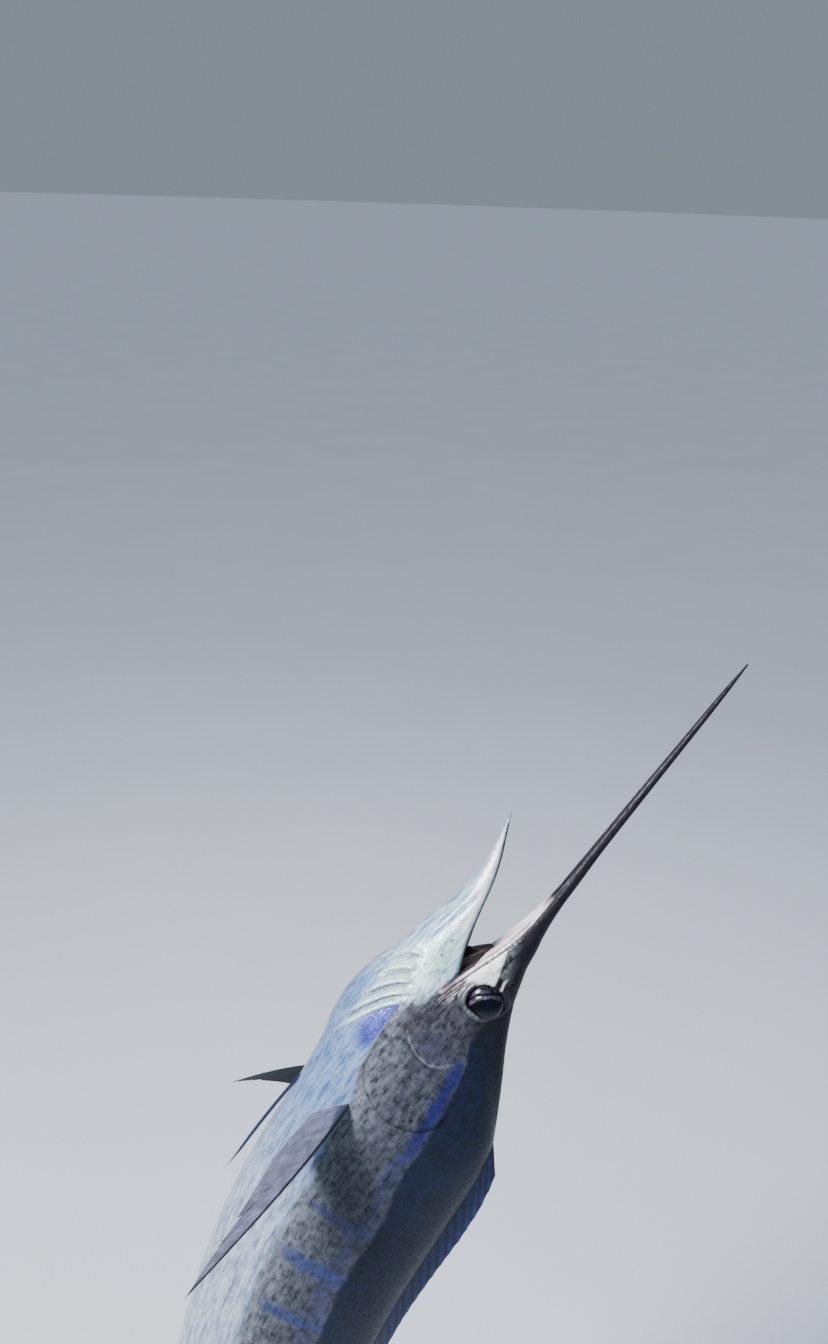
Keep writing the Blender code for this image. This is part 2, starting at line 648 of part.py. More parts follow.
for old in list(bpy.data.objects):
    bpy.data.objects.remove(old, do_unlink=True)
PART = rig("striped_marlin")
CUTTERS = rig("cutters")
SHELLS = {}
build()
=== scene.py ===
"""Striped marlin leaping with an open mouth: the skin, eyes, fins and stand of the model.

The fish is worked out along a straight line first: s runs in metres from the tip of the
closed lower jaw to the tail, y to the fish's left and z to its back. laid() bends that
line along the backbone and turns the fish into its leap, where the frame's solids are.
"""
import bpy
import numpy as np
from math import pi, radians, sin
from bpy.props import FloatProperty, FloatVectorProperty, IntProperty, PointerProperty
from bpy.types import Operator, Panel, PropertyGroup
from mathutils import Euler, Matrix, Vector


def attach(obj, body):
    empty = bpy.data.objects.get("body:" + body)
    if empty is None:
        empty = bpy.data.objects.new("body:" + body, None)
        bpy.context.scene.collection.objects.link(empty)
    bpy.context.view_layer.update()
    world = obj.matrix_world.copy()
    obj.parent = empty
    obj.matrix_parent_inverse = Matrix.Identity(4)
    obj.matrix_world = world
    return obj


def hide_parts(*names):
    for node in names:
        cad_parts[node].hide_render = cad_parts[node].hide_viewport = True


bl_info = {
    "name": "Leaping striped marlin",
    "version": (1, 0, 0),
    "blender": (4, 5, 0),
    "location": "3D View > Sidebar > Marlin",
    "description": "Life-size striped marlin with an open mouth on a display stand",
    "category": "Add Mesh",
}

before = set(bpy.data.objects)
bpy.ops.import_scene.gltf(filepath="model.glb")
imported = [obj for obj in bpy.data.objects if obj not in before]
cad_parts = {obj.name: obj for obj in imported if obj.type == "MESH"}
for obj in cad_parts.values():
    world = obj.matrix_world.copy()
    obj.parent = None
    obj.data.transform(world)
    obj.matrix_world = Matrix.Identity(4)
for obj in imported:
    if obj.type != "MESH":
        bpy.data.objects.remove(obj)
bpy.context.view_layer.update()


# Shape of the fish, in metres

# Sign of y on each side of it, and columns of its upper sides, lower sides and mouth
SIGNS = {"left": 1, "right": -1}
UPPER_COLS, LOWER_COLS, MOUTH_COLS = 59, 49, 25
# Eye: its middle, its radius, half its depth and how far out its front stands
EYE_S, EYE_Z = 0.324, 0.003
EYE_RADIUS = 0.034
EYE_DEPTH = 0.016
EYE_OUT = 0.0710
# Cosine and sine of the line from the snout through the eye, and of the pupil's lean on it
SNOUT_LEAN = 0.885, 0.466
PUPIL_LEAN = 0.906, 0.423
# Pupil's middle, behind the eye's and beside it
PUPIL_AT = 0.0086, 0.002
# Stations of the bill's tip, the lower jaw's tip, the mouth's corner and the tail's fork
BILL_TIP_S = -0.4595
JAW_TIP_S = 0.025
CORNER_S = 0.37
FORK_S = 2.44
# Tail fin, and how deep the midline's fins are sunk in the body
TAIL_HALF_SPAN = 0.43
TAIL_NOTCH_S, TAIL_TIP_S = 2.475, 2.70
FIN_SUNK = 0.012
# Half the thickness of the solids' fin edges, and of the dressed ones, a little less
SOLID_RIM, FIN_RIM = 0.0006, 0.0005
# The backbone bends by so many degrees between two stations, back and to the fish's right
BEND_BACK = 20.0
BEND_BACK_FROM, BEND_BACK_TO = 0.46, 1.30
BEND_SIDE = 30.0
BEND_SIDE_FROM, BEND_SIDE_TO = 0.80, 2.30
# Where station AIMED_S comes in the leap, and how the fish is turned there
AIMED_S = 0.32
FISH_AT = Vector((0.358, 0.201, 2.416))
FISH_TURN = Euler((radians(143.01), radians(-50.97), radians(21.39)), "XYZ")

# Camera of the photograph, with the tilt that its horizon gives and its lens in millimetres,
# and the studio in metres
CAMERA_AT = (0.1996, -1.5800, 3.8361)
CAMERA_TILT, CAMERA_ROLL = radians(23.35), radians(1.91)
CAMERA_LENS, CAMERA_SENSOR = 31.18, 36.0
FLOOR_RADIUS = 150.0
LIGHTS_AIM = Vector((0.35, 0.15, 2.35))

# Outlines of the body: its back, palate, belly, half width, widest height and the power
# of its back's roundness, each by station

BACK = ((-0.46, -.0076), (-0.41, -.0050), (-0.36, -.0035), (-0.26, -.0020), (-0.15, -.0004),
        (-0.03, .0018), (0.06, .0062), (0.10, .0078), (0.135, .0112), (0.17, .0165),
        (0.20, .0235), (0.235, .0295), (0.265, .0390), (0.30, .0510), (0.37, .0865),
        (0.44, .1300), (0.50, .1650), (0.55, .1900), (0.62, .2060),
        (0.75, .2110), (1.00, .2000), (1.30, .1720), (1.60, .1330), (1.80, .1030),
        (2.00, .0740), (2.20, .0490), (2.33, .0400), (2.41, .0385), (2.44, .0290))
PALATE = ((-0.46, -.0104), (-0.41, -.0130), (-0.36, -.0146), (-0.26, -.0160),
          (-0.15, -.0178), (-0.03, -.0190), (0.06, -.0200), (0.10, -.0213), (0.12, -.0235),
          (0.143, -.0272), (0.165, -.0308), (0.1925, -.0370), (0.211, -.0412),
          (0.2335, -.0465), (0.26, -.0545), (0.30, -.0670), (0.36, -.0780),
          (0.42, -.1180), (0.51, -.1300))
BELLY = ((0.25, -.145), (0.30, -.162), (0.36, -.185), (0.42, -.206), (0.49, -.212),
         (0.54, -.205), (0.60, -.190), (0.70, -.180), (0.85, -.180), (1.00, -.176),
         (1.30, -.158), (1.60, -.130), (1.80, -.105), (2.00, -.079), (2.20, -.051),
         (2.33, -.040), (2.41, -.0385), (2.44, -.0290))
HALF = ((-0.46, .0014), (-0.41, .0046), (-0.36, .0064), (-0.26, .0082), (-0.15, .0100),
        (-0.03, .0125), (0.06, .0175), (0.11, .0240), (0.16, .0330), (0.21, .0430),
        (0.28, .0570), (0.32, .0650), (0.36, .0720), (0.42, .0850), (0.50, .0970),
        (0.60, .1040), (0.75, .1070), (0.95, .1040), (1.20, .0950), (1.50, .0800),
        (1.80, .0600), (2.00, .0450), (2.20, .0310), (2.33, .0260), (2.41, .0225), (2.44, .0120))
MIDDLE = ((-0.46, -.0090), (0.06, -.0070), (0.10, -.0068), (0.15, -.0060), (0.24, -.0075),
          (0.30, -.014), (0.36, -.022), (0.50, -.021), (0.62, -.006), (0.90, .010),
          (1.30, .007), (1.60, .001), (2.00, -.002), (2.44, 0.0))
RIDGE = ((-0.46, 2.0), (0.20, 2.0), (0.42, 1.7), (0.90, 1.75), (1.60, 2.0), (2.44, 2.0))
# Powers of the roundness of its belly and of its sides
BELLY_POWER, SIDE_POWER = 2.25, 0.9
# Lower jaw: its rim, its underside and its half width
JAW_RIM = ((0.025, -.174), (0.07, -.152), (0.108, -.134), (0.154, -.117), (0.193, -.107),
           (0.2455, -.0925), (0.282, -.0800), (0.322, -.0660), (0.37, -.0640), (0.46, -.064))
JAW_UNDER = ((0.025, -.176), (0.045, -.1725), (0.078, -.1640), (0.1075, -.1585), (0.143, -.1555),
             (0.173, -.1560), (0.229, -.1620), (0.2745, -.1755), (0.33, -.190), (0.37, -.197),
             (0.40, -.203), (0.46, -.210))
JAW_HALF = ((0.025, .001), (0.07, .0095), (0.108, .016), (0.154, .025), (0.193, .034),
            (0.2455, .044), (0.30, .052), (0.335, .056), (0.40, .067))
# Height of the groove between the upper jaw's rough lip and the smooth snout
LIP_GROOVE = ((0.02, -.0125), (0.112, -.0135), (0.156, -.0148), (0.178, -.0172), (0.203, -.0210),
              (0.234, -.0286), (0.266, -.0390), (0.300, -.0496), (0.333, -.0590), (0.37, -.0700))
# Lowest height of the navy back, and highest of the silver belly
NAVY_LOW = ((-0.46, -.008), (0.06, -.004), (0.15, .001), (0.22, .010), (0.27, .022),
            (0.31, .034), (0.345, .026), (0.39, .026), (0.44, .048), (0.50, .062), (0.56, .068),
            (0.65, .078), (0.80, .092), (1.00, .092), (1.30, .078), (1.60, .058), (2.00, .028),
            (2.44, .006))
BELLY_TOP = ((0.36, -.095), (0.44, -.116), (0.50, -.112), (0.56, -.104), (0.62, -.085),
             (0.75, -.070), (1.00, -.060), (1.60, -.040), (2.00, -.022), (2.44, -.008))
# Free edge of the gill cover, as s and z, from below the cheek round to its top
GILL_EDGE = ((0.425, -.109), (0.447, -.1120), (0.475, -.1110), (0.515, -.106), (0.545, -.099),
             (0.572, -.080), (0.589, -.048), (0.597, -.012), (0.592, .022), (0.575, .050),
             (0.550, .069), (0.520, .0755), (0.490, .073))
# Curved bone ahead of it, on the cheek
CHEEK_RIDGE = ((0.425, -.088), (0.447, -.077), (0.4600, -.0616), (0.4695, -.0366), (0.4700, -.0065),
               (0.4588, .0135), (0.4348, .0336))

# Soft ridge along the lower jaw, and the dark streak across the snout's cream patch
JAW_LINE = ((0.16, -.133), (0.20, -.138), (0.236, -.1426), (0.271, -.1468), (0.304, -.154),
            (0.335, -.162))
SNOUT_STREAK = ((0.2785, -.0165), (0.2705, -.0155), (0.2485, -.0105), (0.2204, -.0035), (0.206, .001))
# Nostrils on the snout and pores on the jaw: s, z and radius
NOSTRILS = ((0.276, .0200, .0030), (0.268, .0240, .0026))
PORES = ((0.2754, -.1139, .0022), (0.3087, -.1111, .0022), (0.2601, -.1353, .0019),
         (0.2382, -.1239, .0018), (0.206, -.139, .0015), (0.188, -.128, .0015), (0.148, -.130, .0014))


def tone(code):
    """Turns an sRGB hex value to linear red, green and blue."""
    rgb = np.array([int(code[i:i + 2], 16) for i in (0, 2, 4)]) / 255
    return tuple(np.where(rgb <= 0.04045, rgb / 12.92, ((rgb + 0.055) / 1.055) ** 2.4))


def curve(table, x):
    """Smooth curve through a table's points: a cubic between each pair, without overshoot."""
    xs, ys = np.array(table, float).T
    step = np.diff(ys) / np.diff(xs)
    slope = np.zeros_like(ys)
    turn = step[:-1] * step[1:]
    mean = 2 * turn / np.where(turn > 0, step[:-1] + step[1:], 1)
    slope[1:-1] = np.where(turn > 0, mean, 0)
    slope[0], slope[-1] = step[0], step[-1]
    x = np.clip(np.asarray(x, float), xs[0], xs[-1])
    i = np.clip(np.searchsorted(xs, x) - 1, 0, len(xs) - 2)
    h = xs[i + 1] - xs[i]
    u = (x - xs[i]) / h
    return ((2 * u**3 - 3 * u**2 + 1) * ys[i] + (u**3 - 2 * u**2 + u) * h * slope[i]
            + (3 * u**2 - 2 * u**3) * ys[i + 1] + (u**3 - u**2) * h * slope[i + 1])


def ease(x, low, high):
    """Rises smoothly from 0 at low to 1 at high."""
    u = np.clip((np.asarray(x, float) - low) / (np.asarray(high, float) - low), 0, 1)
    return u * u * (3 - 2 * u)


def span(x, low, full, fall, end):
    """Rises smoothly from low to full, and falls again from fall to end."""
    return ease(x, low, full) * (1 - ease(x, fall, end))


def bump(x, width):
    """Bell of height 1 and of the given half width round 0."""
    return np.exp(-(x / width) ** 2)


def backbone():
    """Stations of the bent backbone: each step turns a little up and a little to the side."""
    s = np.linspace(BEND_BACK_FROM, 3.0, 300)
    ds = s[1] - s[0]

    def share(s0, s1):
        u = np.clip((s - s0) / (s1 - s0), 0, 1)
        return 6 * u * (1 - u) / (s1 - s0) * ds

    back = radians(BEND_BACK) * share(BEND_BACK_FROM, BEND_BACK_TO)
    side = radians(BEND_SIDE) * share(BEND_SIDE_FROM, BEND_SIDE_TO)
    along, left, up = np.eye(3)
    at = along * s[0]
    rows = [(at, left, up)]
    for b, w in zip(back[1:], side[1:]):
        nxt = along + up * b - left * w
        nxt = nxt / np.linalg.norm(nxt)
        left = left + along * w
        left = left - nxt * (left @ nxt)
        left = left / np.linalg.norm(left)
        at = at + (along + nxt) / 2 * ds
        along = nxt
        up = np.cross(along, left)
        rows.append((at, left, up))
    return (s,) + tuple(np.array(column) for column in zip(*rows))


BACKBONE = backbone()
TURN = np.array(FISH_TURN.to_matrix())


def laid(points):
    """Straight s, y, z to the leap: slid along the bent backbone, turned and moved."""
    p = np.asarray(points, float).reshape(-1, 3)
    s, at, left, up = BACKBONE

    def along(rows):
        return np.stack([np.interp(p[:, 0], s, rows[:, k]) for k in range(3)], 1)

    bent = along(at) + p[:, 1:2] * along(left) + p[:, 2:3] * along(up)
    out = np.where(p[:, :1] > s[0], bent, p)
    fish = np.stack([AIMED_S - out[:, 0], out[:, 1], out[:, 2]], 1)
    return fish @ TURN.T + np.array(FISH_AT)


# Mesh helpers


def table(s, y, z):
    """A row or a table of points from places that have a row, a column or one value each."""
    return np.stack(np.broadcast_arrays(s, y, z), -1)


def grid_faces(index, flip=False):
    """Four-sided faces between neighbours of a two-way table of point numbers."""
    a, b = index[:-1, :-1], index[:-1, 1:]
    c, d = index[1:, 1:], index[1:, :-1]
    faces = np.stack([a, b, c, d], -1).reshape(-1, 4)
    return faces[:, ::-1] if flip else faces


def shell_faces(rows, cols):
    """Faces of a closed shell: two grids back to back, joined by a wall round their rim."""
    one = np.arange(rows * cols).reshape(rows, cols)
    loop = np.concatenate([one[0], one[1:, -1], one[-1, -2::-1], one[-2:0:-1, 0]])
    after = np.roll(loop, -1)
    wall = np.stack([after, loop, loop + rows * cols, after + rows * cols], 1)
    return np.concatenate([grid_faces(one), grid_faces(one + rows * cols, True), wall])


def ball_faces(rows, cols):
    """Faces of a closed ball: a grid joined to itself round its turn, one point at each pole."""
    index = np.arange(rows * cols).reshape(rows, cols)
    index[:, -1] = index[:, 0]
    index[0], index[-1] = index[0, 0], index[-1, 0]
    return grid_faces(index)


def point_normals(points, faces):
    """Sum of the face normals round each point, made one long."""
    a, b, c, d = (points[faces[:, k]] for k in range(4))
    face = np.cross(c - a, d - b)
    out = np.zeros_like(points)
    for k in range(4):
        np.add.at(out, faces[:, k], face)
    return out / np.maximum(np.linalg.norm(out, axis=1, keepdims=True), 1e-12)


def volume(points, faces):
    """Signed volume inside closed four-sided faces."""
    a, b, c, d = (points[faces[:, k]] for k in range(4))
    return (np.cross(a, b) * c).sum() / 6 + (np.cross(a, c) * d).sum() / 6


def make_piece(name, points, faces, material, masks=None, sharp=None):
    """A smooth object of four-sided faces, three-sided where a number comes twice.

    masks are numbers kept on each point for the material to read. sharp is the angle in
    degrees from which an edge stays sharp.
    """
    if volume(points, faces) < 0:
        faces = faces[:, ::-1]
    used, inverse = np.unique(faces, return_inverse=True)
    faces = inverse.reshape(faces.shape)
    points = points[used]
    three = (faces == np.roll(faces, -1, axis=1))
    whole = ~three.any(axis=1)
    cut = faces[~whole]
    keep = ~three[~whole]
    loops = np.concatenate([faces[whole].ravel(), cut[keep]])
    counts = np.concatenate([np.full(whole.sum(), 4), keep.sum(1)])
    mesh = bpy.data.meshes.new(name)
    mesh.vertices.add(len(points))
    mesh.vertices.foreach_set("co", points.ravel())
    mesh.loops.add(len(loops))
    mesh.loops.foreach_set("vertex_index", loops)
    mesh.polygons.add(len(counts))
    mesh.polygons.foreach_set("loop_start", np.concatenate([[0], np.cumsum(counts)[:-1]]))
    mesh.update(calc_edges=True)
    for key, values in (masks or {}).items():
        kind, field = ("FLOAT_VECTOR", "vector") if values.ndim == 2 else ("FLOAT", "value")
        layer = mesh.attributes.new(key, kind, "POINT")
        layer.data.foreach_set(field, values[used].astype(np.float32).ravel())
    mesh.shade_smooth()
    if sharp is not None:
        mesh.set_sharp_from_angle(angle=radians(sharp))
    mesh.materials.append(material)
    obj = bpy.data.objects.new(name, mesh)
    bpy.context.scene.collection.objects.link(obj)
    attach(obj, "root")
    return obj


def put(tree, kind, sockets=None, **settings):
    """Adds a node with its settings, or fills one that is there, and returns it.

    A socket, by name or number, takes a value, an sRGB hex colour, an output, or a node for
    its first output in use.
    """
    item = tree.nodes.new("ShaderNode" + kind) if isinstance(kind, str) else kind
    for key, value in settings.items():
        setattr(item, key, value)
    for key, value in (sockets or {}).items():
        if isinstance(value, str):
            value = (*tone(value), 1)
        if isinstance(value, bpy.types.Node):
            value = next(out for out in value.outputs if out.enabled)
        if isinstance(value, bpy.types.NodeSocket):
            tree.links.new(value, item.inputs[key])
        else:
            item.inputs[key].default_value = value
    return item


def stored(tree, name, kind="Fac"):
    """Number, or vector, that the mesh keeps on each point under a name."""
    return put(tree, "Attribute", attribute_name=name).outputs[kind]


def calc(tree, operation, *values):
    """Node that works out one number from others."""
    return put(tree, "Math", dict(enumerate(values)), operation=operation)


def ranged(tree, value, low, high, to_low=0.0, to_high=1.0, **settings):
    """Node that moves a value from one range to another, and keeps it there."""
    sockets = {0: value, 1: low, 2: high, 3: to_low, 4: to_high}
    return put(tree, "MapRange", sockets, **settings)


def mixed(tree, share, first, second, **settings):
    """Node that mixes two colours, the first where share is 0 and the second where it is 1."""
    return put(tree, "Mix", {0: share, 6: first, 7: second}, data_type="RGBA", **settings)


def new_material(name):
    """An empty material with its Principled shader; returns material, tree and shader."""
    mat = bpy.data.materials.new(name)
    mat.use_nodes = True
    tree = mat.node_tree
    return mat, tree, tree.nodes["Principled BSDF"]


# Shape of the skin


def around(s, t, low, foot):
    """Body's section: y goes by a power of the sine of t, and z by powers of its cosine.

    t runs from 0 at the back over the left side to half a turn at the belly.
    """
    top, wide, mid = curve(BACK, s), curve(HALF, s), curve(MIDDLE, s)
    c, w = np.cos(t), np.clip(np.sin(t), 0, 1)
    y = wide * w ** SIDE_POWER
    upper = mid + (top - mid) * np.abs(c) ** (2 / curve(RIDGE, s))
    lower = mid - (mid - low) * np.abs(c) ** (2 / foot)
    return y, np.where(c > 0, upper, lower)


def lip_turn(s):
    """Turn at which the mouth's line runs on along the body, hidden."""
    return np.radians(np.interp(s, (0.36, 0.60), (107, 100)))


def upper_side(s, a):
    """Left side from the back, a 0, to the mouth, a 1: head ahead, body behind, eased."""
    head_turn = np.radians(np.interp(a, (0, 0.7, 1), (0, 90, 148)))
    body_turn = np.where(a < 0.7, a / 0.7 * pi / 2,
                         pi / 2 + (lip_turn(s) - pi / 2) * (a - 0.7) / 0.3)
    foot = np.interp(s, (0.06, 0.2), (2.0, 3.0))
    y0, z0 = around(s, head_turn, curve(PALATE, s), foot)
    y1, z1 = around(s, body_turn, curve(BELLY, s), BELLY_POWER)
    share = ease(s, 0.25, CORNER_S)
    return y0 + (y1 - y0) * share, z0 + (z1 - z0) * share


def lower_side(s, b):
    """Left side from the mouth, b 0, to the belly, b 1: jaw ahead, body behind, eased."""
    rim, under, wide = curve(JAW_RIM, s), curve(JAW_UNDER, s), curve(JAW_HALF, s)
    y0 = wide * np.cos(b * pi / 2)
    z0 = rim - (rim - under) * np.sin(b * pi / 2) ** 0.8
    mouth = lip_turn(s)
    y1, z1 = around(s, mouth + (pi - mouth) * b, curve(BELLY, s), BELLY_POWER)
    share = ease(s, 0.31 - 0.07 * b, CORNER_S + 0.06 * b)
    return y0 + (y1 - y0) * share, z0 + (z1 - z0) * share


def body_half(s, z):
    """Half width of the body's surface at s and z."""
    mid = curve(MIDDLE, s)
    up = np.clip((z - mid) / (curve(BACK, s) - mid), 0, 1) ** curve(RIDGE, s)
    down = np.clip((mid - z) / (mid - curve(BELLY, s)), 0, 1) ** BELLY_POWER
    return curve(HALF, s) * np.sqrt(np.clip(1 - np.where(z > mid, up, down), 0, 1)) ** SIDE_POWER


def from_path(s, z, path):
    """Distance from a broken line through s, z points, and the share of its length."""
    path = np.array(path, float)
    size = np.linalg.norm(np.diff(path, axis=0), axis=1)
    start = np.concatenate([[0], np.cumsum(size)])
    best = np.full(np.shape(s), 1e9)
    place = np.zeros(np.shape(s))
    for (ps, pz), (qs, qz), length, at in zip(path[:-1], path[1:], size, start):
        u = np.clip(((s - ps) * (qs - ps) + (z - pz) * (qz - pz)) / length**2, 0, 1)
        away = np.hypot(s - ps - u * (qs - ps), z - pz - u * (qz - pz))
        place = np.where(away < best, (at + u * length) / start[-1], place)
        best = np.minimum(best, away)
    return best, place


def folds(s, z):
    """Overlapping throat folds: height of the flaps from 0 to 1, their strength, their count.

    Each flap rises slowly towards the tail and drops at its free edge. The edges are arcs
    that lean back towards the belly and stand 22 mm apart above and 46 mm apart below.
    """
    down = -(z + 0.121)
    edge = 0.4067 + 0.75 * down + 17 * down ** 2
    q = (s - edge) / (0.022 + 0.40 * np.clip(down, 0, 0.06))
    saw = q - np.floor(q)
    wave = np.where(saw < 0.86, saw / 0.86, (1 - saw) / 0.14)
    top = 0.112 - 0.008 * np.clip(q, -3, 0)
    strength = span(q, -3.9, -2.8, 0.80, 1.05) * span(-z, top, top + 0.012, 0.166, 0.186)
    return wave, strength, q


def cheek_bone(s, z):
    """Distance from the cheek's curved bone, its strength along it, and 1 on its rear side."""
    away, at = from_path(s, z, CHEEK_RIDGE)
    centre = np.hypot(s - 0.420, (z + 0.02) / 1.3)
    return away, span(at, 0.12, 0.38, 0.88, 1), ease(centre, 0.048, 0.056)


def turned(a, b, lean):
    """Places along and across a line whose cosine and sine are given."""
    return lean[0] * a + lean[1] * b, lean[0] * b - lean[1] * a


def along_eye(s, z):
    """Place round the eye: how far behind its middle, on the line from the snout, and across."""
    return turned(s - EYE_S, z - EYE_Z, SNOUT_LEAN)


def eye_rim(s, z):
    """Distance from the eye's middle, and how far behind and across it lies, from -1 to 1.

    The distance is stretched behind the eye, so that the skin's rim covers the ball's rear.
    """
    behind, across = along_eye(s, z)
    r = np.maximum(np.hypot(behind, across), 1e-6)
    return r * (1 + 0.36 * ease(behind / r, 0.1, 0.95)), behind / r, across / r


def skin_masks(s, y, z, part):
    """Where each colour lies, as numbers from 0 to 1, from the straight place alone.

    part is 0 on the upper side, 1 on the lower, 2 on the palate and 3 in the jaw's floor.
    """
    upper, lower, outer = part == 0, part == 1, part < 2
    r, behind, beside = eye_rim(s, z)
    # Navy back, cobalt line under it, silver sheen of the flank and the belly, wavily bordered
    wave = 0.004 * np.sin(s * 21 + 1.3 * np.sin(s * 9)) + 0.0015 * np.sin(s * 83 + z * 60)
    level = z + wave * ease(s, 0.4, 0.7)
    low, high = curve(NAVY_LOW, s), curve(BELLY_TOP, s)
    navy = ease(level, low - 0.007, low + 0.010)
    mid = low - 0.012 - 0.012 * ease(s, 0.5, 0.9)
    cobalt = (0.8 * bump(level - mid, 0.018 + 0.014 * ease(s, 0.55, 0.9)) * ease(s, 0.40, 0.46)
              * (1 - 0.45 * ease(s, 0.54, 0.70)))
    soft = 1 - 0.8 * span(s, 0.38, 0.42, 0.56, 0.62)
    belly = 1 - ease(level, high - 0.012 * soft, high + 0.022 * soft)
    sheen = 0.7 * ease(s, 0.40, 0.47) * (1 - ease(level, high, high + 0.095))
    # Bars on the flank, 105 mm apart
    bars = 0.8 * np.clip(np.sin((s - 0.78) * 2 * pi / 0.105), 0, 1) ** 3
    bars = bars * span(s, 0.72, 0.85, 2.05, 2.30) * ease(z, high - 0.01, high + 0.05)
    # Dark bill, and the rough lip with a rosy edge on the jaw at the mouth's corner
    groove, rim = curve(LIP_GROOVE, s), curve(JAW_RIM, s)
    bill = 1 - ease(s - 1.3 * np.clip(z - groove, 0, 1), 0.160, 0.225)
    lip = ease(z - groove, 0.001, -0.002) * ease(s, 0.06, 0.155) * (1 - ease(s, 0.355, 0.37))
    blush = bump(z - rim + 0.006, 0.008) * span(s, 0.29, 0.33, 0.36, 0.39)
    # Cream patch ahead of the eye: a thin streak along the lip that widens towards the eye, with a
    # painted highlight near the eye added to it
    top = -0.0085 + 0.32 * (s - 0.2765)
    cream = (ease(s, 0.150, 0.250) * (1 - ease(s + 0.6 * z, 0.272, 0.300))
             * ease(z - groove, 0, 0.003) * (1 - ease(z - top, -0.006, 0.012)))
    painted_glint = 0.9 * bump(np.hypot((s - 0.279) / 0.014, (z - 0.0105) / 0.0032), 1)
    olive = (0.66 * span(s, 0.19, 0.24, 0.29, 0.31) * ease(r, 0.047, 0.060)
             * ease(z - groove, 0, 0.004) * (1 - ease(z - top, 0.016, 0.034)))
    # Wrinkled skin at the mouth's corner, and the dark band between the lip and the mouth: partly the
    # membrane's own colour, partly painted shade of the mouth
    folded = upper * span(s, 0.295, 0.325, 0.350, 0.420) * span(z - groove, -0.001, 0.002, 0.014, 0.024)
    lip = np.where(upper, lip, 0.7 * blush * lower) * (1 - 0.60 * ease(s, 0.295, 0.335))
    depth = groove - z - np.interp(s, (0.235, 0.262, 0.2865, 0.33), (0.022, 0.0105, 0.0050, 0.0060))
    gum_dark_and_shade = upper * ease(depth, -0.001, 0.0025) * span(s, 0.240, 0.258, 0.345, 0.365)
    # Cheek with its round disc
    cheek = (ease(s, 0.28, 0.33) * (1 - ease(s + 0.2 * (z + 0.02), 0.425, 0.465))
             * span(z, -0.105, -0.080, 0.020, 0.040))
    disc = bump(np.hypot((s - 0.443) / 0.026, (z + 0.018) / 0.038), 1.0)
    # Pale jaw, mint green over the throat, and a painted rosy highlight inside the jaw's rim
    jaw = lower * (1 - ease(s + 0.30 * (z + 0.13), 0.36, 0.43))
    mint = lower * bump(np.hypot((s - 0.335) / 0.085, (z + 0.118) / 0.030), 1.0)
    jaw_rim_highlight = lower * bump(z - rim + 0.016, 0.010) * span(s, 0.03, 0.08, 0.20, 0.30)
    # Throat folds, painted paler on their crests as a highlight, and the violet patch behind them
    fold_crest_highlight, strong, count = folds(s, z)
    lavender = (lower * bump(z + 0.128, 0.028) * ease(count, 0.92, 1.12)
                * (1 - ease(s, 0.490, 0.565)) * (1 - ease(z, -0.1165, -0.1105)))
    # Mouth: dark palate between pale lips
    across = np.abs(y) / np.maximum(upper_side(s, np.ones_like(s))[0], 1e-6)
    inner, side = (part == 2) * ease(s, 0.06, 0.16), ease(across, 0.45, 0.80)
    # Painted shade in the gap round the eyeball, a painted highlight on the rim below it, and dark skin
    # above and ahead of it: the back's own dark colour with painted shade of the hollow
    eye_gap_shade = upper * (1 - ease(r, 0.0325, 0.0360))
    eye_rim_highlight = (0.75 * upper * bump(r - 0.0385, 0.0042) * ease(-beside, -0.25, 0.5)
           * (1 - 0.8 * ease(-behind, -0.2, 0.7)))
    shade = ease(beside, 0.05, 0.5) * (1 - ease(r, 0.052, 0.066))
    socket_dark_and_shade = upper * np.maximum(0.8 * ease(z, -0.012, 0.016) * bump(s - 0.345, 0.045), shade)
    # Dark lines: the jaw's rim and the snout's streak, with painted shade in the gaps between folds and
    # in the groove behind the cheek's bone
    away, at = from_path(s, z, SNOUT_STREAK)
    lines = [lower * bump(z - rim, 0.0065) * (1 - ease(s, 0.27, 0.33)),
             0.85 * upper * bump(away, 0.0026) * span(at, 0, 0.2, 0.8, 1),
             0.8 * strong * bump(fold_crest_highlight, 0.20)]
    # The cheek bone's crest gets a painted highlight, and the groove behind it painted shade
    away, ends, rear = cheek_bone(s, z)
    lines.append(0.70 * upper * ends * rear * bump(away - 0.0050, 0.0030))
    return {
        "navy": navy * outer * (1 - jaw), "cobalt": cobalt * outer, "sheen": sheen * outer,
        "belly": belly, "silver": belly * ease(s, 0.62, 0.95), "stripe": bars * outer,
        "bill": bill * (part != 1), "cream": upper * np.maximum(cream, painted_glint),
        "olive": olive * upper, "gum_dark_and_shade": gum_dark_and_shade, "cheek": cheek * outer, "disc": disc * outer,
        "lip": np.maximum.reduce([lip, 0.40 * folded, 0.8 * inner * side]),
        "jaw": jaw, "mint": mint, "jaw_rim_highlight": jaw_rim_highlight, "fold_crest_highlight": fold_crest_highlight * strong * outer,
        "lavender": lavender, "palate": inner * (1 - side), "floor": (part == 3) * 1.0,
        "eye_gap_shade": eye_gap_shade, "eye_rim_highlight": eye_rim_highlight, "socket_dark_and_shade": socket_dark_and_shade, "dark": np.maximum.reduce(lines),
        "bone_crest_highlight": 0.35 * upper * ends * bump(away, 0.0015), "gap": z - groove, "folded": folded,
        "groove_shade": upper * span(s, 0.03, 0.10, 0.345, 0.37),
        "twin": 0.85 * upper * span(s, 0.14, 0.17, 0.25, 0.29),
    }


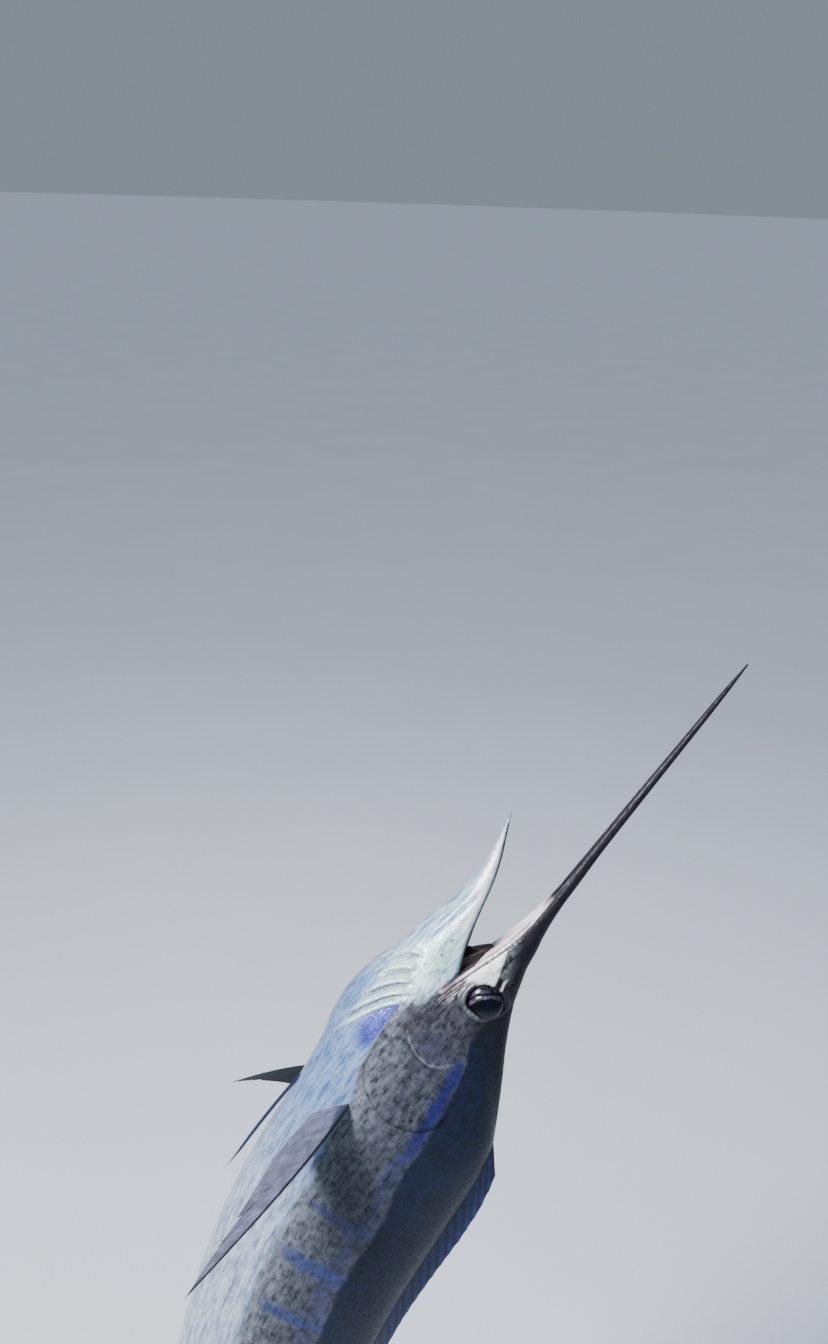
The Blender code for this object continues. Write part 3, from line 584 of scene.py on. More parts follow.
def skin_lift(s, y, z, part):
    """How far each point of the skin stands out of the smooth body, in metres."""
    upper, lower = part == 0, part == 1
    # Lip groove, and the rough lip swelling below it
    above = z - curve(LIP_GROOVE, s)
    out = (upper * span(s, 0.02, 0.10, 0.34, 0.37)
           * (0.0012 * bump(above + 0.008, 0.006) - 0.0016 * bump(above, 0.0022)))
    # Socket and rim of the eye, with a heavier brow above and ahead
    r, behind, _ = eye_rim(s, z)
    brow = 0.5 - 0.5 * behind
    out += upper * (0.0026 + 0.0026 * brow) * bump(r - 0.0390 + 0.001 * brow, 0.0055)
    out -= upper * (0.012 * (1 - ease(r, 0.0290, 0.0340)) + 0.0012 * bump(r - 0.050, 0.004))
    # Cheek bone's curved ridge with a groove behind it
    away, ends, rear = cheek_bone(s, z)
    out += ends * (0.0024 * bump(away, 0.0032) - 0.0026 * rear * bump(away - 0.0075, 0.0042))
    # Wrinkles of the lip's skin at the mouth's corner
    for step in (0.0055, 0.0105, 0.0160):
        out -= 0.0011 * upper * span(s, 0.295, 0.325, 0.375, 0.410) * bump(above - step, 0.0016)
    # Soft hollows of the cheek and the snout, and the nostrils
    out -= upper * 0.0020 * bump(np.hypot(s - 0.385, (z + 0.035) * 0.8), 0.022)
    out -= upper * 0.0012 * bump(np.hypot((s - 0.245) * 0.5, z - 0.012), 0.010)
    for at_s, at_z, size in NOSTRILS:
        out -= upper * 0.0022 * bump(np.hypot(s - at_s, z - at_z), size)
    # Soft ridge along the jaw with a hollow above it
    away, at = from_path(s, z, JAW_LINE)
    hollow = bump(away - 0.011, 0.0060) * ease(z - curve(JAW_LINE, s), 0, 0.004)
    out += lower * span(at, 0, 0.3, 0.75, 1) * (0.0014 * bump(away, 0.0045) - 0.0012 * hollow)
    # Throat folds, and a shallow trough along the jaw's underside
    wave, strong, _ = folds(s, z)
    out += (lower | upper) * 0.0062 * (wave - 0.40) * strong
    out -= lower * 0.0010 * bump(y, 0.004) * (1 - ease(s, 0.30, 0.40))
    # Two low keels on each side of the tail's stem, swelling towards the fork
    reach = 0.009 * np.interp(s, (2.14, 2.27, 2.38, FORK_S), (0, 1, 1, 0.3)) * (np.abs(y) > 0.003)
    high = np.interp(s, (2.14, FORK_S), (0.013, 0.010))
    return out + reach * (bump(z - high, 0.0035) + bump(z + high, 0.0035))


def skin_stations():
    """Stations of the skin, closest at mouth and gills, and the rows of jaw tip and corner."""
    marks = (BILL_TIP_S, JAW_TIP_S, CORNER_S, 0.47, 0.62, FORK_S)
    steps = (41, 123, 45, 50, 109)
    lengths = [np.linspace(*ends, n, endpoint=False) for *ends, n in zip(marks, marks[1:], steps)]
    return np.concatenate(lengths + [marks[-1:]]), steps[0], sum(steps[:2])


def skin_mesh():
    """Points, faces and part numbers of the one skin, closed at every end.

    Columns stand closest over the eye and the throat's folds, by a sine added to their shares.
    """
    stations, jaw_row, corner = skin_stations()
    a = np.linspace(0, 1, UPPER_COLS)[None, :]
    a = a + 0.40 * (1 - np.cos(2 * pi * a)) / (2 * pi)
    b = np.linspace(0, 1, LOWER_COLS)[None, :]
    b = b + 0.45 * (np.sin(2 * pi * (b + 0.15)) - sin(2 * pi * 0.15)) / (2 * pi)
    k = np.linspace(0, 1, MOUTH_COLS)[None, :]
    s = stations[:, None]
    s_low, s_jaw, s_up = s[jaw_row:], s[jaw_row:corner + 1], s[:corner + 1]
    upper = table(s, *upper_side(s, a))
    lower = table(s_low, *lower_side(s_low, b))

    # Palate from lip to lip, arched, and the floor of the jaw, a trough with thick rims
    lip = upper[:corner + 1, -1:]
    arch = 0.007 * span(s_up, 0.05, 0.18, 0.33, CORNER_S)
    below = (lip[..., 2] - curve(PALATE, s_up)) * (1 - ease(s_up, 0.06, 0.18))
    tuck = ease(k, 0, 0.10) * ease(1 - k, 0, 0.10)
    y = lip[..., 1] * np.cos(k * pi) * (1 - 0.06 * tuck * ease(s_up, 0.05, 0.2))
    z = lip[..., 2] + arch * tuck * np.sin(k * pi) ** 0.5 - below * np.sin(k * pi)
    palate = table(s_up, y, z)
    lip = lower[:corner + 1 - jaw_row, :1]
    deep = 0.42 * (lip[..., 2] - curve(JAW_UNDER, s_jaw))
    rim = bump(np.minimum(k, 1 - k), 0.035)
    y = lip[..., 1] * np.cos(k * pi) * (0.92 + 0.08 * rim)
    z = lip[..., 2] - deep * (np.sin(k * pi) * (1 - rim)) ** 0.9
    floor = table(s_jaw, y, z)

    # Both sides, palate and floor get numbers of their own, and share them where they meet
    flip = np.array((1, -1, 1))
    tables = [upper, upper * flip, lower, lower * flip, palate, floor]
    sizes = [item.shape[0] * item.shape[1] for item in tables]
    points = np.concatenate([item.reshape(-1, 3) for item in tables])
    part = np.repeat((0, 0, 1, 1, 2, 3), sizes)
    up_l, up_r, low_l, low_r, roof, base = (
        start + np.arange(size).reshape(item.shape[:2])
        for item, size, start in zip(tables, sizes, np.cumsum([0] + sizes)))
    behind = corner - jaw_row
    up_r[:, 0] = up_l[:, 0]
    low_r[:, -1] = low_l[:, -1]
    low_l[behind:, 0] = up_l[corner:, -1]
    low_r[behind:, 0] = up_r[corner:, -1]
    roof[:, 0], roof[:, -1] = up_l[:corner + 1, -1], up_r[:corner + 1, -1]
    base[:, 0], base[:, -1] = low_l[:behind + 1, 0], low_r[:behind + 1, 0]
    faces = [grid_faces(up_l), grid_faces(up_r, True), grid_faces(low_l),
             grid_faces(low_r, True), grid_faces(roof), grid_faces(base, True),
             grid_faces(np.stack([roof[-1], base[-1]]))]

    # Fans close the bill's tip, the jaw's tip and the fork
    rings = ((np.concatenate([up_l[0], roof[0, 1:], up_r[0, -2:0:-1]]), True),
             (np.concatenate([low_l[0], low_r[0, -2::-1], base[0, -2:0:-1]]), True),
             (np.concatenate([up_l[-1], low_l[-1, 1:], low_r[-1, -2::-1], up_r[-1, -2:0:-1]]),
              False))
    for ring, front in rings:
        hubs = np.full(len(ring), len(points))
        points = np.concatenate([points, points[ring].mean(axis=0)[None]])
        part = np.append(part, part[ring[0]])
        after = np.roll(ring, -1)
        pair = [after, ring] if front else [ring, after]
        faces.append(np.stack(pair + [hubs, hubs], 1))
    return points, np.concatenate(faces), part


def fish_skin(material):
    """The one skin: its forms lifted out along its normals, laid in the leap with its masks."""
    points, faces, part = skin_mesh()
    place = laid(points)
    normal = point_normals(place, faces)
    if volume(place, faces) < 0:
        normal = -normal
    lift = skin_lift(*points.T, part)
    masks = skin_masks(*points.T, part)
    masks["place"] = points
    return make_piece("fish_skin", place + normal * lift[:, None], faces, material, masks)


# Materials

# Colours of the skin from the lowest layer up: mask, darkest and palest tone. Some layers are painted
# light: highlights on the jaw's rim, the folds' crests, the eye's lower rim and the cheek bone's crest,
# a glint in the cream patch, and shade round the eye, at the mouth's edge and in the dark lines
SKIN_LAYERS = (
    ("sheen", "343842", "8A909A"), ("belly", "3A5480", "7C98BE"), ("silver", "64758F", "B7C3D1"),
    ("cheek", "0A0A0F", "4A4952"), ("disc", "22222F", "3F4051"), ("cobalt", "0D0E3C", "20235F"),
    ("stripe", "18224A", "303D70"), ("navy", "040A18", "091731"), ("socket_dark_and_shade", "05060A", "131218"),
    ("olive", "191C1C", "6C716C"), ("cream", "CCCBC2", "FBFBF8"), ("bill", "08060B", "1D1725"),
    ("lip", "C2B0B8", "F5EDEF"), ("gum_dark_and_shade", "1A1216", "4B3B40"), ("jaw", "55789C", "C2DBE3"),
    ("mint", "659698", "CDE8DC"), ("jaw_rim_highlight", "C9BCCB", "F2ECEF"), ("fold_crest_highlight", "ABD2BF", "E4F8E8"),
    ("lavender", "21267C", "42499F"), ("palate", "2B1F25", "5E484F"), ("floor", "55444A", "75605F"),
    ("eye_rim_highlight", "23282A", "8C9694"), ("eye_gap_shade", "050406", "100D12"), ("bone_crest_highlight", "6A6570", "B2B0B8"),
    ("dark", "040306", "0B090D"))
STREAKED = ("jaw", "belly", "silver", "mint")
FRAYED = ("belly", "cheek", "cobalt", "stripe", "navy", "cream", "olive", "bill", "lip", "gum_dark_and_shade", "mint",
          "lavender")
# Dark lines of the lip, painted shade in its groove and wrinkles and one line below the groove: mask,
# distance from its groove and half width, in metres
FURROWS = (("groove_shade", 0.0, 0.0030), ("twin", -0.0058, 0.0022), ("folded", 0.0055, 0.0020),
           ("folded", 0.0105, 0.0022), ("folded", 0.0160, 0.0020))


def skin_material(look):
    """Wet marlin skin: a thin clear slime over reflecting silver, bronze and deep blue.

    The slime gives the sharp highlights, needle-like scales a fine grain along the body,
    and the colour cells the soft blotches. Some highlights and shade are painted into the colour layers
    too.
    """
    mat, tree, shader = new_material("wet_marlin_skin")
    place = stored(tree, "place", "Vector")
    blotch = put(tree, "TexNoise", {"Vector": place, "Scale": 76.0, "Detail": 5.0, "Roughness": 0.66})
    drawn = put(tree, "Mapping", {"Vector": place, "Scale": (26, 130, 130)})
    streak = put(tree, "TexNoise", {"Vector": drawn, "Scale": 1.0, "Detail": 7.0, "Roughness": 0.7})
    fine = put(tree, "TexNoise", {"Vector": place, "Scale": 210.0, "Detail": 3.0})
    # Needle scales are 8 mm by 1.5 mm in life, drawn twice as coarse so that they show
    stretch = put(tree, "Mapping", {"Vector": place, "Scale": (62, 330, 330)})
    needle = put(tree, "TexVoronoi", {"Vector": stretch, "Scale": 1.0, "Randomness": 1.0}, feature="F1")
    both = calc(tree, "ADD", blotch, streak)
    mottle = ranged(tree, both, 0.80, 1.22)
    pearly = ranged(tree, streak, 0.36, 0.60)
    fray = calc(tree, "MULTIPLY_ADD", streak, 1.1, -0.55)
    colour = mixed(tree, mottle, "13161C", "4B4E58")
    parts = {}
    for mask, deep, pale in SKIN_LAYERS:
        # The jaws and the belly are streaked along the body, the rest is blotched
        tint = pearly if mask in STREAKED else mottle
        pair = mixed(tree, tint, deep, pale)
        part = stored(tree, mask)
        if mask in FRAYED:
            # The edge of the colour is frayed by streaks that run along the body
            part = ranged(tree, calc(tree, "ADD", part, fray), 0.25, 0.75)
        colour = mixed(tree, part, colour, pair)
        parts[mask] = part
    # Dark lines run along the lip at set distances from its groove, a little wavy: painted shade in the
    # groove and its wrinkles, and one line below the groove
    gap = stored(tree, "gap")
    gap = calc(tree, "MULTIPLY_ADD", streak, 0.006, gap)
    dark_marks_and_shade = 0.0
    for mask, at, half in FURROWS:
        away = calc(tree, "SUBTRACT", gap, at + 0.003)
        away = calc(tree, "ABSOLUTE", away)
        line = ranged(tree, away, 0.0, half, 1.0, 0.0, interpolation_type="SMOOTHSTEP")
        share = stored(tree, mask)
        line = calc(tree, "MULTIPLY", line, share)
        dark_marks_and_shade = calc(tree, "MAXIMUM", dark_marks_and_shade, line)
    # Nostrils and pores are round and dark on both sides of the head
    flat = put(tree, "VectorMath", {0: place, 1: (1, 0, 1)}, operation="MULTIPLY")
    for s, z, size in NOSTRILS + PORES:
        far = put(tree, "VectorMath", {0: flat, 1: (s, 0, z)}, operation="DISTANCE")
        dot = ranged(tree, far, 0.7 * size, 1.3 * size, 0.9, 0.0)
        dark_marks_and_shade = calc(tree, "MAXIMUM", dark_marks_and_shade, dot)
    colour = mixed(tree, dark_marks_and_shade, colour, "0A070A")
    grain = ranged(tree, needle, 0.1, 0.9, 1.06, 0.86)
    shaded = mixed(tree, 0.55, colour, grain, blend_type="MULTIPLY")
    silver = calc(tree, "MAXIMUM", parts["belly"], parts["jaw"])
    metal = ranged(tree, silver, 0.0, 1.0, 0.06, 0.18)
    # The bill and the navy back are duller than the rest, and speckled like all of it
    dull = calc(tree, "MULTIPLY_ADD", parts["navy"], 0.75, parts["bill"])
    matt = calc(tree, "MULTIPLY_ADD", dull, 0.24, 0.30)
    speckle = ranged(tree, fine, 0.40, 0.64)
    rough = calc(tree, "MULTIPLY_ADD", speckle, 0.22, matt)
    slime = ranged(tree, dull, 0.0, 1.0, look.wetness, look.wetness * 0.15)
    height = calc(tree, "MULTIPLY_ADD", needle, -0.6, fine)
    relief = put(tree, "Bump", {"Height": height, "Strength": 0.35, "Distance": 0.0015})
    put(tree, shader, {"Base Color": shaded, "Metallic": metal, "Roughness": rough, "Normal": relief,
                       "IOR": 1.42, "Specular IOR Level": 0.35, "Coat Weight": slime,
                       "Coat Roughness": 0.16, "Coat IOR": 1.34, "Coat Normal": relief})
    return mat


def eye_material():
    """Wet eyeball turned back: blue-black pupil, a mauve crescent of iris ahead of it.

    The ball's front shows beyond a dark line of painted shade in its groove, mottled grey brown as on a
    live marlin.
    """
    mat, tree, shader = new_material("wet_eyeball")
    place = stored(tree, "place", "Vector")
    streak = put(tree, "TexNoise", {"Vector": place, "Scale": 150.0, "Detail": 5.0})
    shade = ranged(tree, streak, 0.38, 0.68)
    colour = "060507"
    # The dark line is painted shade in the groove ahead of the iris
    for mask, deep, pale in (("white", "0E0C11", "4E4857"), ("iris", "2C2631", "746B80"),
                             ("line", "040306", "0A080C"), ("pupil", "020205", "060914")):
        pair = mixed(tree, shade, deep, pale)
        part = stored(tree, mask)
        colour = mixed(tree, part, colour, pair)
    put(tree, shader, {"Base Color": colour, "Roughness": 0.25, "IOR": 1.38, "Specular IOR Level": 0.15,
                       "Coat Weight": 0.6, "Coat Roughness": 0.05, "Coat IOR": 1.38})
    return mat


def lining_material():
    """Wet inner skin of the mouth, puckered, with a duller gloss: dark brown, partly its own colour and
    partly painted shade inside the mouth.
    """
    mat, tree, shader = new_material("wet_mouth_lining")
    place = put(tree, "TexCoord").outputs["Object"]
    noise = put(tree, "TexNoise", {"Vector": place, "Scale": 70.0, "Detail": 5.0})
    colour = mixed(tree, noise, "120E11", "4A3A3A")
    relief = put(tree, "Bump", {"Height": noise, "Strength": 0.6, "Distance": 0.003})
    put(tree, shader, {"Base Color": colour, "Normal": relief, "Roughness": 0.55, "Coat Weight": 0.25,
                       "Coat Roughness": 0.25})
    return mat


def fin_material(name, deep, pale, edge, look, gloss=1.0):
    """Wet fin skin drawn over bony rays: darker membrane, paler rays, a dark front edge.

    gloss is its share of the full shine, less on a fin seen against the light.
    """
    mat, tree, shader = new_material(name)
    share = stored(tree, "ray")
    front = stored(tree, "edge")
    place = stored(tree, "place", "Vector")
    noise = put(tree, "TexNoise", {"Vector": place, "Scale": 55.0, "Detail": 6.0, "Roughness": 0.6})
    cloud = ranged(tree, noise, 0.38, 0.64)
    base = mixed(tree, cloud, deep, pale)
    lines = mixed(tree, share, deep, pale)
    lined = mixed(tree, 0.55, base, lines)
    edged = mixed(tree, front, lined, edge)
    fine = put(tree, "TexNoise", {"Vector": place, "Scale": 240.0, "Detail": 3.0})
    rough = ranged(tree, fine, 0.3, 0.7, 0.28, 0.48)
    relief = put(tree, "Bump", {"Height": fine, "Strength": 0.25, "Distance": 0.001})
    put(tree, shader, {"Base Color": edged, "Roughness": rough, "Normal": relief, "IOR": 1.42,
                       "Specular IOR Level": 0.5 * gloss, "Coat Weight": look.wetness * gloss,
                       "Coat Roughness": 0.08})
    return mat


def board_material(look):
    """Display board: plywood sprayed with black satin paint, faint grain and dust."""
    mat, tree, shader = new_material("black_satin_painted_board")
    place = put(tree, "TexCoord").outputs["Object"]
    stretch = put(tree, "Mapping", {"Vector": place, "Scale": (3, 60, 60)})
    grain = put(tree, "TexNoise", {"Vector": stretch, "Scale": 3.0, "Detail": 6.0})
    dust = put(tree, "TexNoise", {"Vector": place, "Scale": 9.0, "Detail": 5.0})
    colour = mixed(tree, dust, (*look.board_colour, 1), "3A3B3F")
    rough = ranged(tree, dust, 0.3, 0.7, 0.36, 0.56)
    relief = put(tree, "Bump", {"Height": grain, "Strength": 0.15, "Distance": 0.0008})
    put(tree, shader, {"Base Color": colour, "Roughness": rough, "Normal": relief})
    return mat


def steel_material():
    """Satin stainless steel tube, brushed round by a belt, with a soft uneven shine."""
    mat, tree, shader = new_material("brushed_stainless_steel")
    place = put(tree, "TexCoord").outputs["Object"]
    stretch = put(tree, "Mapping", {"Vector": place, "Scale": (8, 8, 420)})
    brush = put(tree, "TexNoise", {"Vector": stretch, "Scale": 1.0, "Detail": 4.0})
    colour = mixed(tree, brush, "A9ABAE", "CFD1D3")
    rough = ranged(tree, brush, 0.3, 0.7, 0.24, 0.38)
    put(tree, shader, {"Base Color": colour, "Roughness": rough, "Metallic": 1.0})
    return mat


def floor_material(look):
    """Pale matt studio floor with the faintest cloud in it."""
    mat, tree, shader = new_material("pale_studio_floor")
    place = put(tree, "TexCoord").outputs["Object"]
    noise = put(tree, "TexNoise", {"Vector": place, "Scale": 1.2, "Detail": 3.0})
    colour = mixed(tree, noise, (*look.floor_colour, 1), "DCE0E4")
    put(tree, shader, {"Base Color": colour, "Roughness": 0.8})
    return mat


# Fins


def blade(name, roots, ends, thick, rows, rays, material, ray=0.0008, bow=0, notch=0, front=0.05,
          curl=0):
    """A fin from a line of roots to a line of ends, thick at its root, with raised rays.

    Points lie on straight lines from root to end, bowed by bow halfway and moved by curl.
    Half the thickness falls with u and towards both edges, and a cosine across adds the
    rays. Each ray fades at the rim. notch is the share of its length cut back along k.
    """
    cols = len(roots)
    k = np.linspace(0, 1, cols)[None, :]
    u = np.linspace(0, 1, rows)[:, None]
    reach = (u * (1 - notch))[..., None]
    straight = roots * (1 - reach) + ends * reach + bow * (4 * u * (1 - u))[..., None] + curl
    mid = laid(straight).reshape(rows, cols, 3)
    face = np.cross(np.gradient(mid, axis=0), np.gradient(mid, axis=1))
    face = face / np.maximum(np.linalg.norm(face, axis=2, keepdims=True), 1e-9)
    body = (thick / 2 - SOLID_RIM) * (1 - u) ** 1.2 * np.sin(pi * np.clip(k * 0.8 + 0.12, 0, 1)) ** 0.6
    fade = ease(k, 0, 0.02) * ease(1 - k, 0, 0.02) * ease(1 - u, 0, 0.04)
    comb = (0.5 + 0.5 * np.cos(2 * pi * rays * k)) * fade
    half = FIN_RIM + body + ray * comb * (1 - 0.5 * u)
    rim = np.minimum(np.minimum(k, 1 - k) * cols, (1 - u) * rows)
    half = (half * np.clip(0.45 + 0.55 * rim, 0, 1))[..., None]
    points = np.stack([mid + face * half, mid - face * half]).reshape(-1, 3)
    edge = np.maximum(1 - ease(k, 0, front), 0.6 * (1 - ease(1 - k, 0, 0.02)))
    edge = np.maximum(edge, 0.7 * (1 - ease(1 - u, 0, 0.03)))
    masks = {"ray": np.tile(comb.ravel(), 2), "edge": np.tile(edge.ravel(), 2),
             "place": np.tile(straight.reshape(-1, 3), (2, 1))}
    return make_piece(name, points, shell_faces(rows, cols), material, masks, 60)


def pectoral(side, material, rays):
    """Long side fin: a sickle from the shoulder, its rear edge ragged on the left."""
    left, sign = side == "left", SIGNS[side]
    reach = np.array((0.228, 0.385, -0.052) if left else (0.290, -0.270, -0.220))
    k = np.linspace(0, 1, 201)
    across = k[:, None]
    root = np.array((0.622, sign * 0.094, -0.078 if left else -0.086))
    chord = np.array((0.0614, sign * -0.014, -0.043))
    length = 1 - 0.74 * k ** 0.85
    roots = root + chord * across - reach * 0.05
    ends = root + chord * across + reach * length[:, None]
    bow = chord * -0.30 * (1 - across) ** 1.5
    torn = span(k, 0.312, 0.324, 0.46, 0.48) * (1 if left else 0.3)
    ragged = (torn * np.clip(1 - 0.61 / length, 0, 1) + 0.05 * bump(k - 0.24, 0.012)
              + 0.016 * np.abs(np.sin(k * 61)) * ease(k, 0.12, 0.25))
    # The front edge curls up towards the tip, and is dark along more of its width at the root
    u = np.linspace(0, 1, 60)[:, None]
    cup = np.cross(reach / np.linalg.norm(reach), chord / np.linalg.norm(chord))
    curl = (0.010 * sign * u ** 2 * (1 - k))[..., None] * cup
    dark = 0.06 + 0.42 * (1 - ease(u, 0.06, 0.24))
    return blade("pectoral_skin_" + side, roots, ends, 0.010, len(u), rays, material, 0.0007, bow,
                 ragged, dark, curl)


def pelvic(side, material):
    """Thin belly fin, a narrow blade trailing under the throat."""
    k = np.linspace(0, 1, 41)[:, None]
    root = np.array((0.600, 0.014, -0.172))
    reach = np.array((0.270, 0.030, -0.034))
    roots = root + np.array((0.022, 0, 0)) * k
    ends = root + np.array((0.014, 0, 0.003)) * k + reach * (1 - 0.22 * k)
    flip = np.array((1, SIGNS[side], 1))
    return blade("pelvic_skin_" + side, roots * flip, ends * flip, 0.005, 50, 4, material, 0.0004)


def dorsal(material, rays):
    """Long first back fin, folded down in its groove with its rays laid back."""
    k = np.linspace(0, 1, 481)
    s = 0.49 + 1.40 * k
    roots = table(s, 0, curve(BACK, s) - FIN_SUNK)
    back = s + 0.10 - 0.075 * k
    height = np.interp(k, (0, 0.06, 0.12, 0.3, 1), (0.026, 0.034, 0.034, 0.024, 0.012))
    ends = table(back, 0, curve(BACK, back) + height)
    saw = (k * rays) % 1
    return blade("dorsal_skin_first", roots, ends, 0.009, 16, rays, material, 0.0010,
                 notch=0.10 * saw * (1 - saw), front=0.01)


def small_fin(name, start, base, up, tall, fall, material, rays):
    """Low fin on the midline, its end line falling back from the front ray."""
    k = np.linspace(0, 1, 121)
    s = start + base * k
    skin = curve(BACK, s) if up > 0 else -curve(BELLY, s)
    roots = table(s, 0, up * (skin - FIN_SUNK))
    length = 1 - fall * k ** 0.55
    # The last ray of the low second fins trails behind
    trail = 0.10 * np.clip(k - 0.85, 0, 1) / 0.15 * (tall[0] < 0.1)
    ends = table(s + tall[0] * length + trail, 0, up * (skin + tall[1] * length))
    return blade(name, roots, ends, 0.006, 30, rays, material, 0.0006)


def tail_lobe(side, up, material, rays):
    """Half of the tail fin: a sickle whose rays fan out from the stem."""
    k = np.linspace(0, 1, 201)
    roots = table(2.350 + 0.058 * k, 0, up * (0.030 - 0.0297 * k ** 1.2))
    length = 1 - k ** 0.62
    ends_s = TAIL_NOTCH_S + (TAIL_TIP_S - TAIL_NOTCH_S) * length ** 1.5
    ends = table(ends_s, 0, up * (0.0003 + TAIL_HALF_SPAN * length))
    bow = table(-0.040 * (1 - k) ** 1.5, 0, up * 0.022 * (1 - k))
    return blade("caudal_skin_" + side, roots, ends, 0.016, 60, rays, material, 0.0009, bow)


# Gill covers, eyes and mouth


def gill_cover(side, material):
    """Raised plate over the cheek's rear: u runs to its free edge, v along that edge.

    Its outer face sinks into the skin at the front and stands 6 mm proud at the edge.
    """
    path = np.array(GILL_EDGE)
    size = np.concatenate([[0], np.cumsum(np.linalg.norm(np.diff(path, axis=0), axis=1))])
    v = np.linspace(0, 1, 101)
    edge = np.stack([curve(np.stack([size / size[-1], path[:, j]], 1), v) for j in (0, 1)], 1)
    centre = np.array((0.455, -0.030))
    inner = centre + (edge - centre) * np.interp(v, (0, 0.35, 1), (0.55, 0.45, 0.45))[:, None]
    u = np.linspace(0, 1, 41)[:, None]
    s, z = inner.T[:, None] * (1 - u) + edge.T[:, None] * u
    y = body_half(s, z)
    ends = span(v, 0, 0.18, 0.82, 1.0)
    rise = -0.0050 + 0.0100 * u ** 1.2 * ends + 0.0010 * ends
    rise = rise + 0.0006 * np.sin(v * 60) * ease(u, 0.3, 0.8) * ends
    y = y + rise + skin_lift(s, y, z, np.zeros_like(s))
    outer = table(s, y, z)
    under = table(s, y - 0.0022 - 0.004 * (1 - u), z)
    flip = np.array((1, SIGNS[side], 1))
    straight = np.stack([outer, under]).reshape(-1, 3) * flip
    masks = skin_masks(*straight.T, np.zeros(len(straight)))
    masks["place"] = straight
    for key in ("belly", "jaw", "fold_crest_highlight", "lip", "lavender"):
        masks[key] = 0 * masks[key]
    # Darker along the free edge and over the whole underside: painted shade at the edge and under the
    # plate
    lip = np.concatenate([(bump(1 - u, 0.05) * ends).ravel(), np.full(s.size, 0.8)])
    masks["dark"] = np.maximum(masks["dark"], 0.55 * lip)
    return make_piece("gill_skin_" + side, laid(straight), shell_faces(*s.shape), material, masks, 50)


def eyeball(side, material):
    """Flattened ball by latitude and turn, domed over its pupil, grooved ahead of its iris.

    d is the distance from the pupil's middle, shortened across so that the pupil is wide.
    """
    lat = np.linspace(0, pi, 91)[:, None]
    turn = np.linspace(0, 2 * pi, 145)[None, :]
    radial = np.sin(lat) + 0 * turn
    s = EYE_S + EYE_RADIUS * radial * np.cos(turn)
    z = EYE_Z + EYE_RADIUS * radial * np.sin(turn)
    behind, beside = along_eye(s, z)
    down, across = turned(behind - PUPIL_AT[0], beside - PUPIL_AT[1], PUPIL_LEAN)
    d = np.hypot(across / 1.9, down)
    ahead = ease(-down / np.maximum(d, 1e-6), -0.05, 0.75)
    outer = np.cos(lat) > 0
    form = 0.0012 * bump(d, 0.017) - 0.0010 * ahead * bump(d - 0.0250, 0.0022)
    y = EYE_OUT - EYE_DEPTH - 0.0012 + EYE_DEPTH * np.cos(lat) + form * outer
    straight = table(s, SIGNS[side] * y, z).reshape(-1, 3)
    # The line mask is painted shade in the groove ahead of the iris
    masks = {"pupil": 1 - ease(d, 0.0160, 0.0178), "line": ahead * bump(d - 0.0250, 0.0015),
             "iris": ahead * bump(d - 0.0200, 0.0030) * (1 - 0.7 * ease(across, 0.004, 0.022)),
             "white": ahead * ease(d, 0.0250, 0.0280) * (0.35 + 0.65 * ease(-beside, -0.012, 0.016))}
    masks = {key: mask.ravel() for key, mask in masks.items()}
    masks["place"] = straight
    return make_piece("eyeball_" + side, laid(straight), ball_faces(*radial.shape), material, masks)


def mouth_lining(material):
    """Dark plug of the mouth's corner skin, its darkness partly painted shade inside the mouth: hollow
    in front, its sides from lip to lip.
    """
    turn = np.linspace(0, 2 * pi, 73)[None, :]
    front = np.linspace(0, 1, 14)[:, None]
    c, w = np.cos(turn), np.sin(turn)

    def ring(s, share):
        top, low = curve(PALATE, s) + 0.012, curve(JAW_RIM, s) - 0.036
        wide = np.where(w > 0, curve(HALF, s) * 0.70, curve(JAW_HALF, s) * 0.93)
        y = wide * np.sign(c) * np.abs(c) ** 0.8 * share
        z = (top + low) / 2 + (top - low) / 2 * w * share
        return y, z

    lean = 0.256 + 0.070 * (0.70 - np.clip(w, -0.5, 0.8))
    y, z = ring(lean, front)
    hollow = 0.026 * (1 - front ** 2) ** 1.2
    pucker = 0.0012 * np.sin(turn * 14) * front * (1 - front)
    cap = table(lean + hollow + pucker, y, z)
    back = np.linspace(0, 1, 16)[1:, None]
    s = lean + (0.352 - lean) * back
    y, z = ring(s, 1)
    dent = 1 - 0.06 * np.sin(back * pi) - 0.012 * np.cos(turn * 10) * np.sin(back * pi)
    side = table(s, y * dent, z)
    hub = table(s[-1:], 0, z[-1].mean())
    straight = np.concatenate([cap, side, hub]).reshape(-1, 3)
    faces = ball_faces(len(front) + len(back) + 1, turn.shape[1])
    return make_piece("mouth_skin", laid(straight), faces, material)


# Settings


class SkinLook(PropertyGroup):
    """Looks of the skin and the fins."""
    wetness: FloatProperty(name="Wetness", description="Weight of the clear slime coat",
                           default=1.0, min=0.0, max=1.0)
    rays: IntProperty(name="Tail rays", description="Rays in each lobe of the tail",
                      default=19, min=8, max=40)


class StandLook(PropertyGroup):
    """Looks of the display stand."""
    board_colour: FloatVectorProperty(name="Board", description="Paint of the board",
                                      subtype="COLOR", size=3, default=tone("141416"))


class StageLook(PropertyGroup):
    """Floor and lights."""
    floor_colour: FloatVectorProperty(name="Floor", description="Colour of the floor",
                                      subtype="COLOR", size=3, default=tone("E6E9EC"))
    key_power: FloatProperty(name="Key light", description="Power of the main light",
                             default=600.0, min=0.0, unit="POWER")
    top_strength: FloatProperty(name="Top light", description="Strength of the light from above",
                                default=0.8, min=0.0)


# Operators


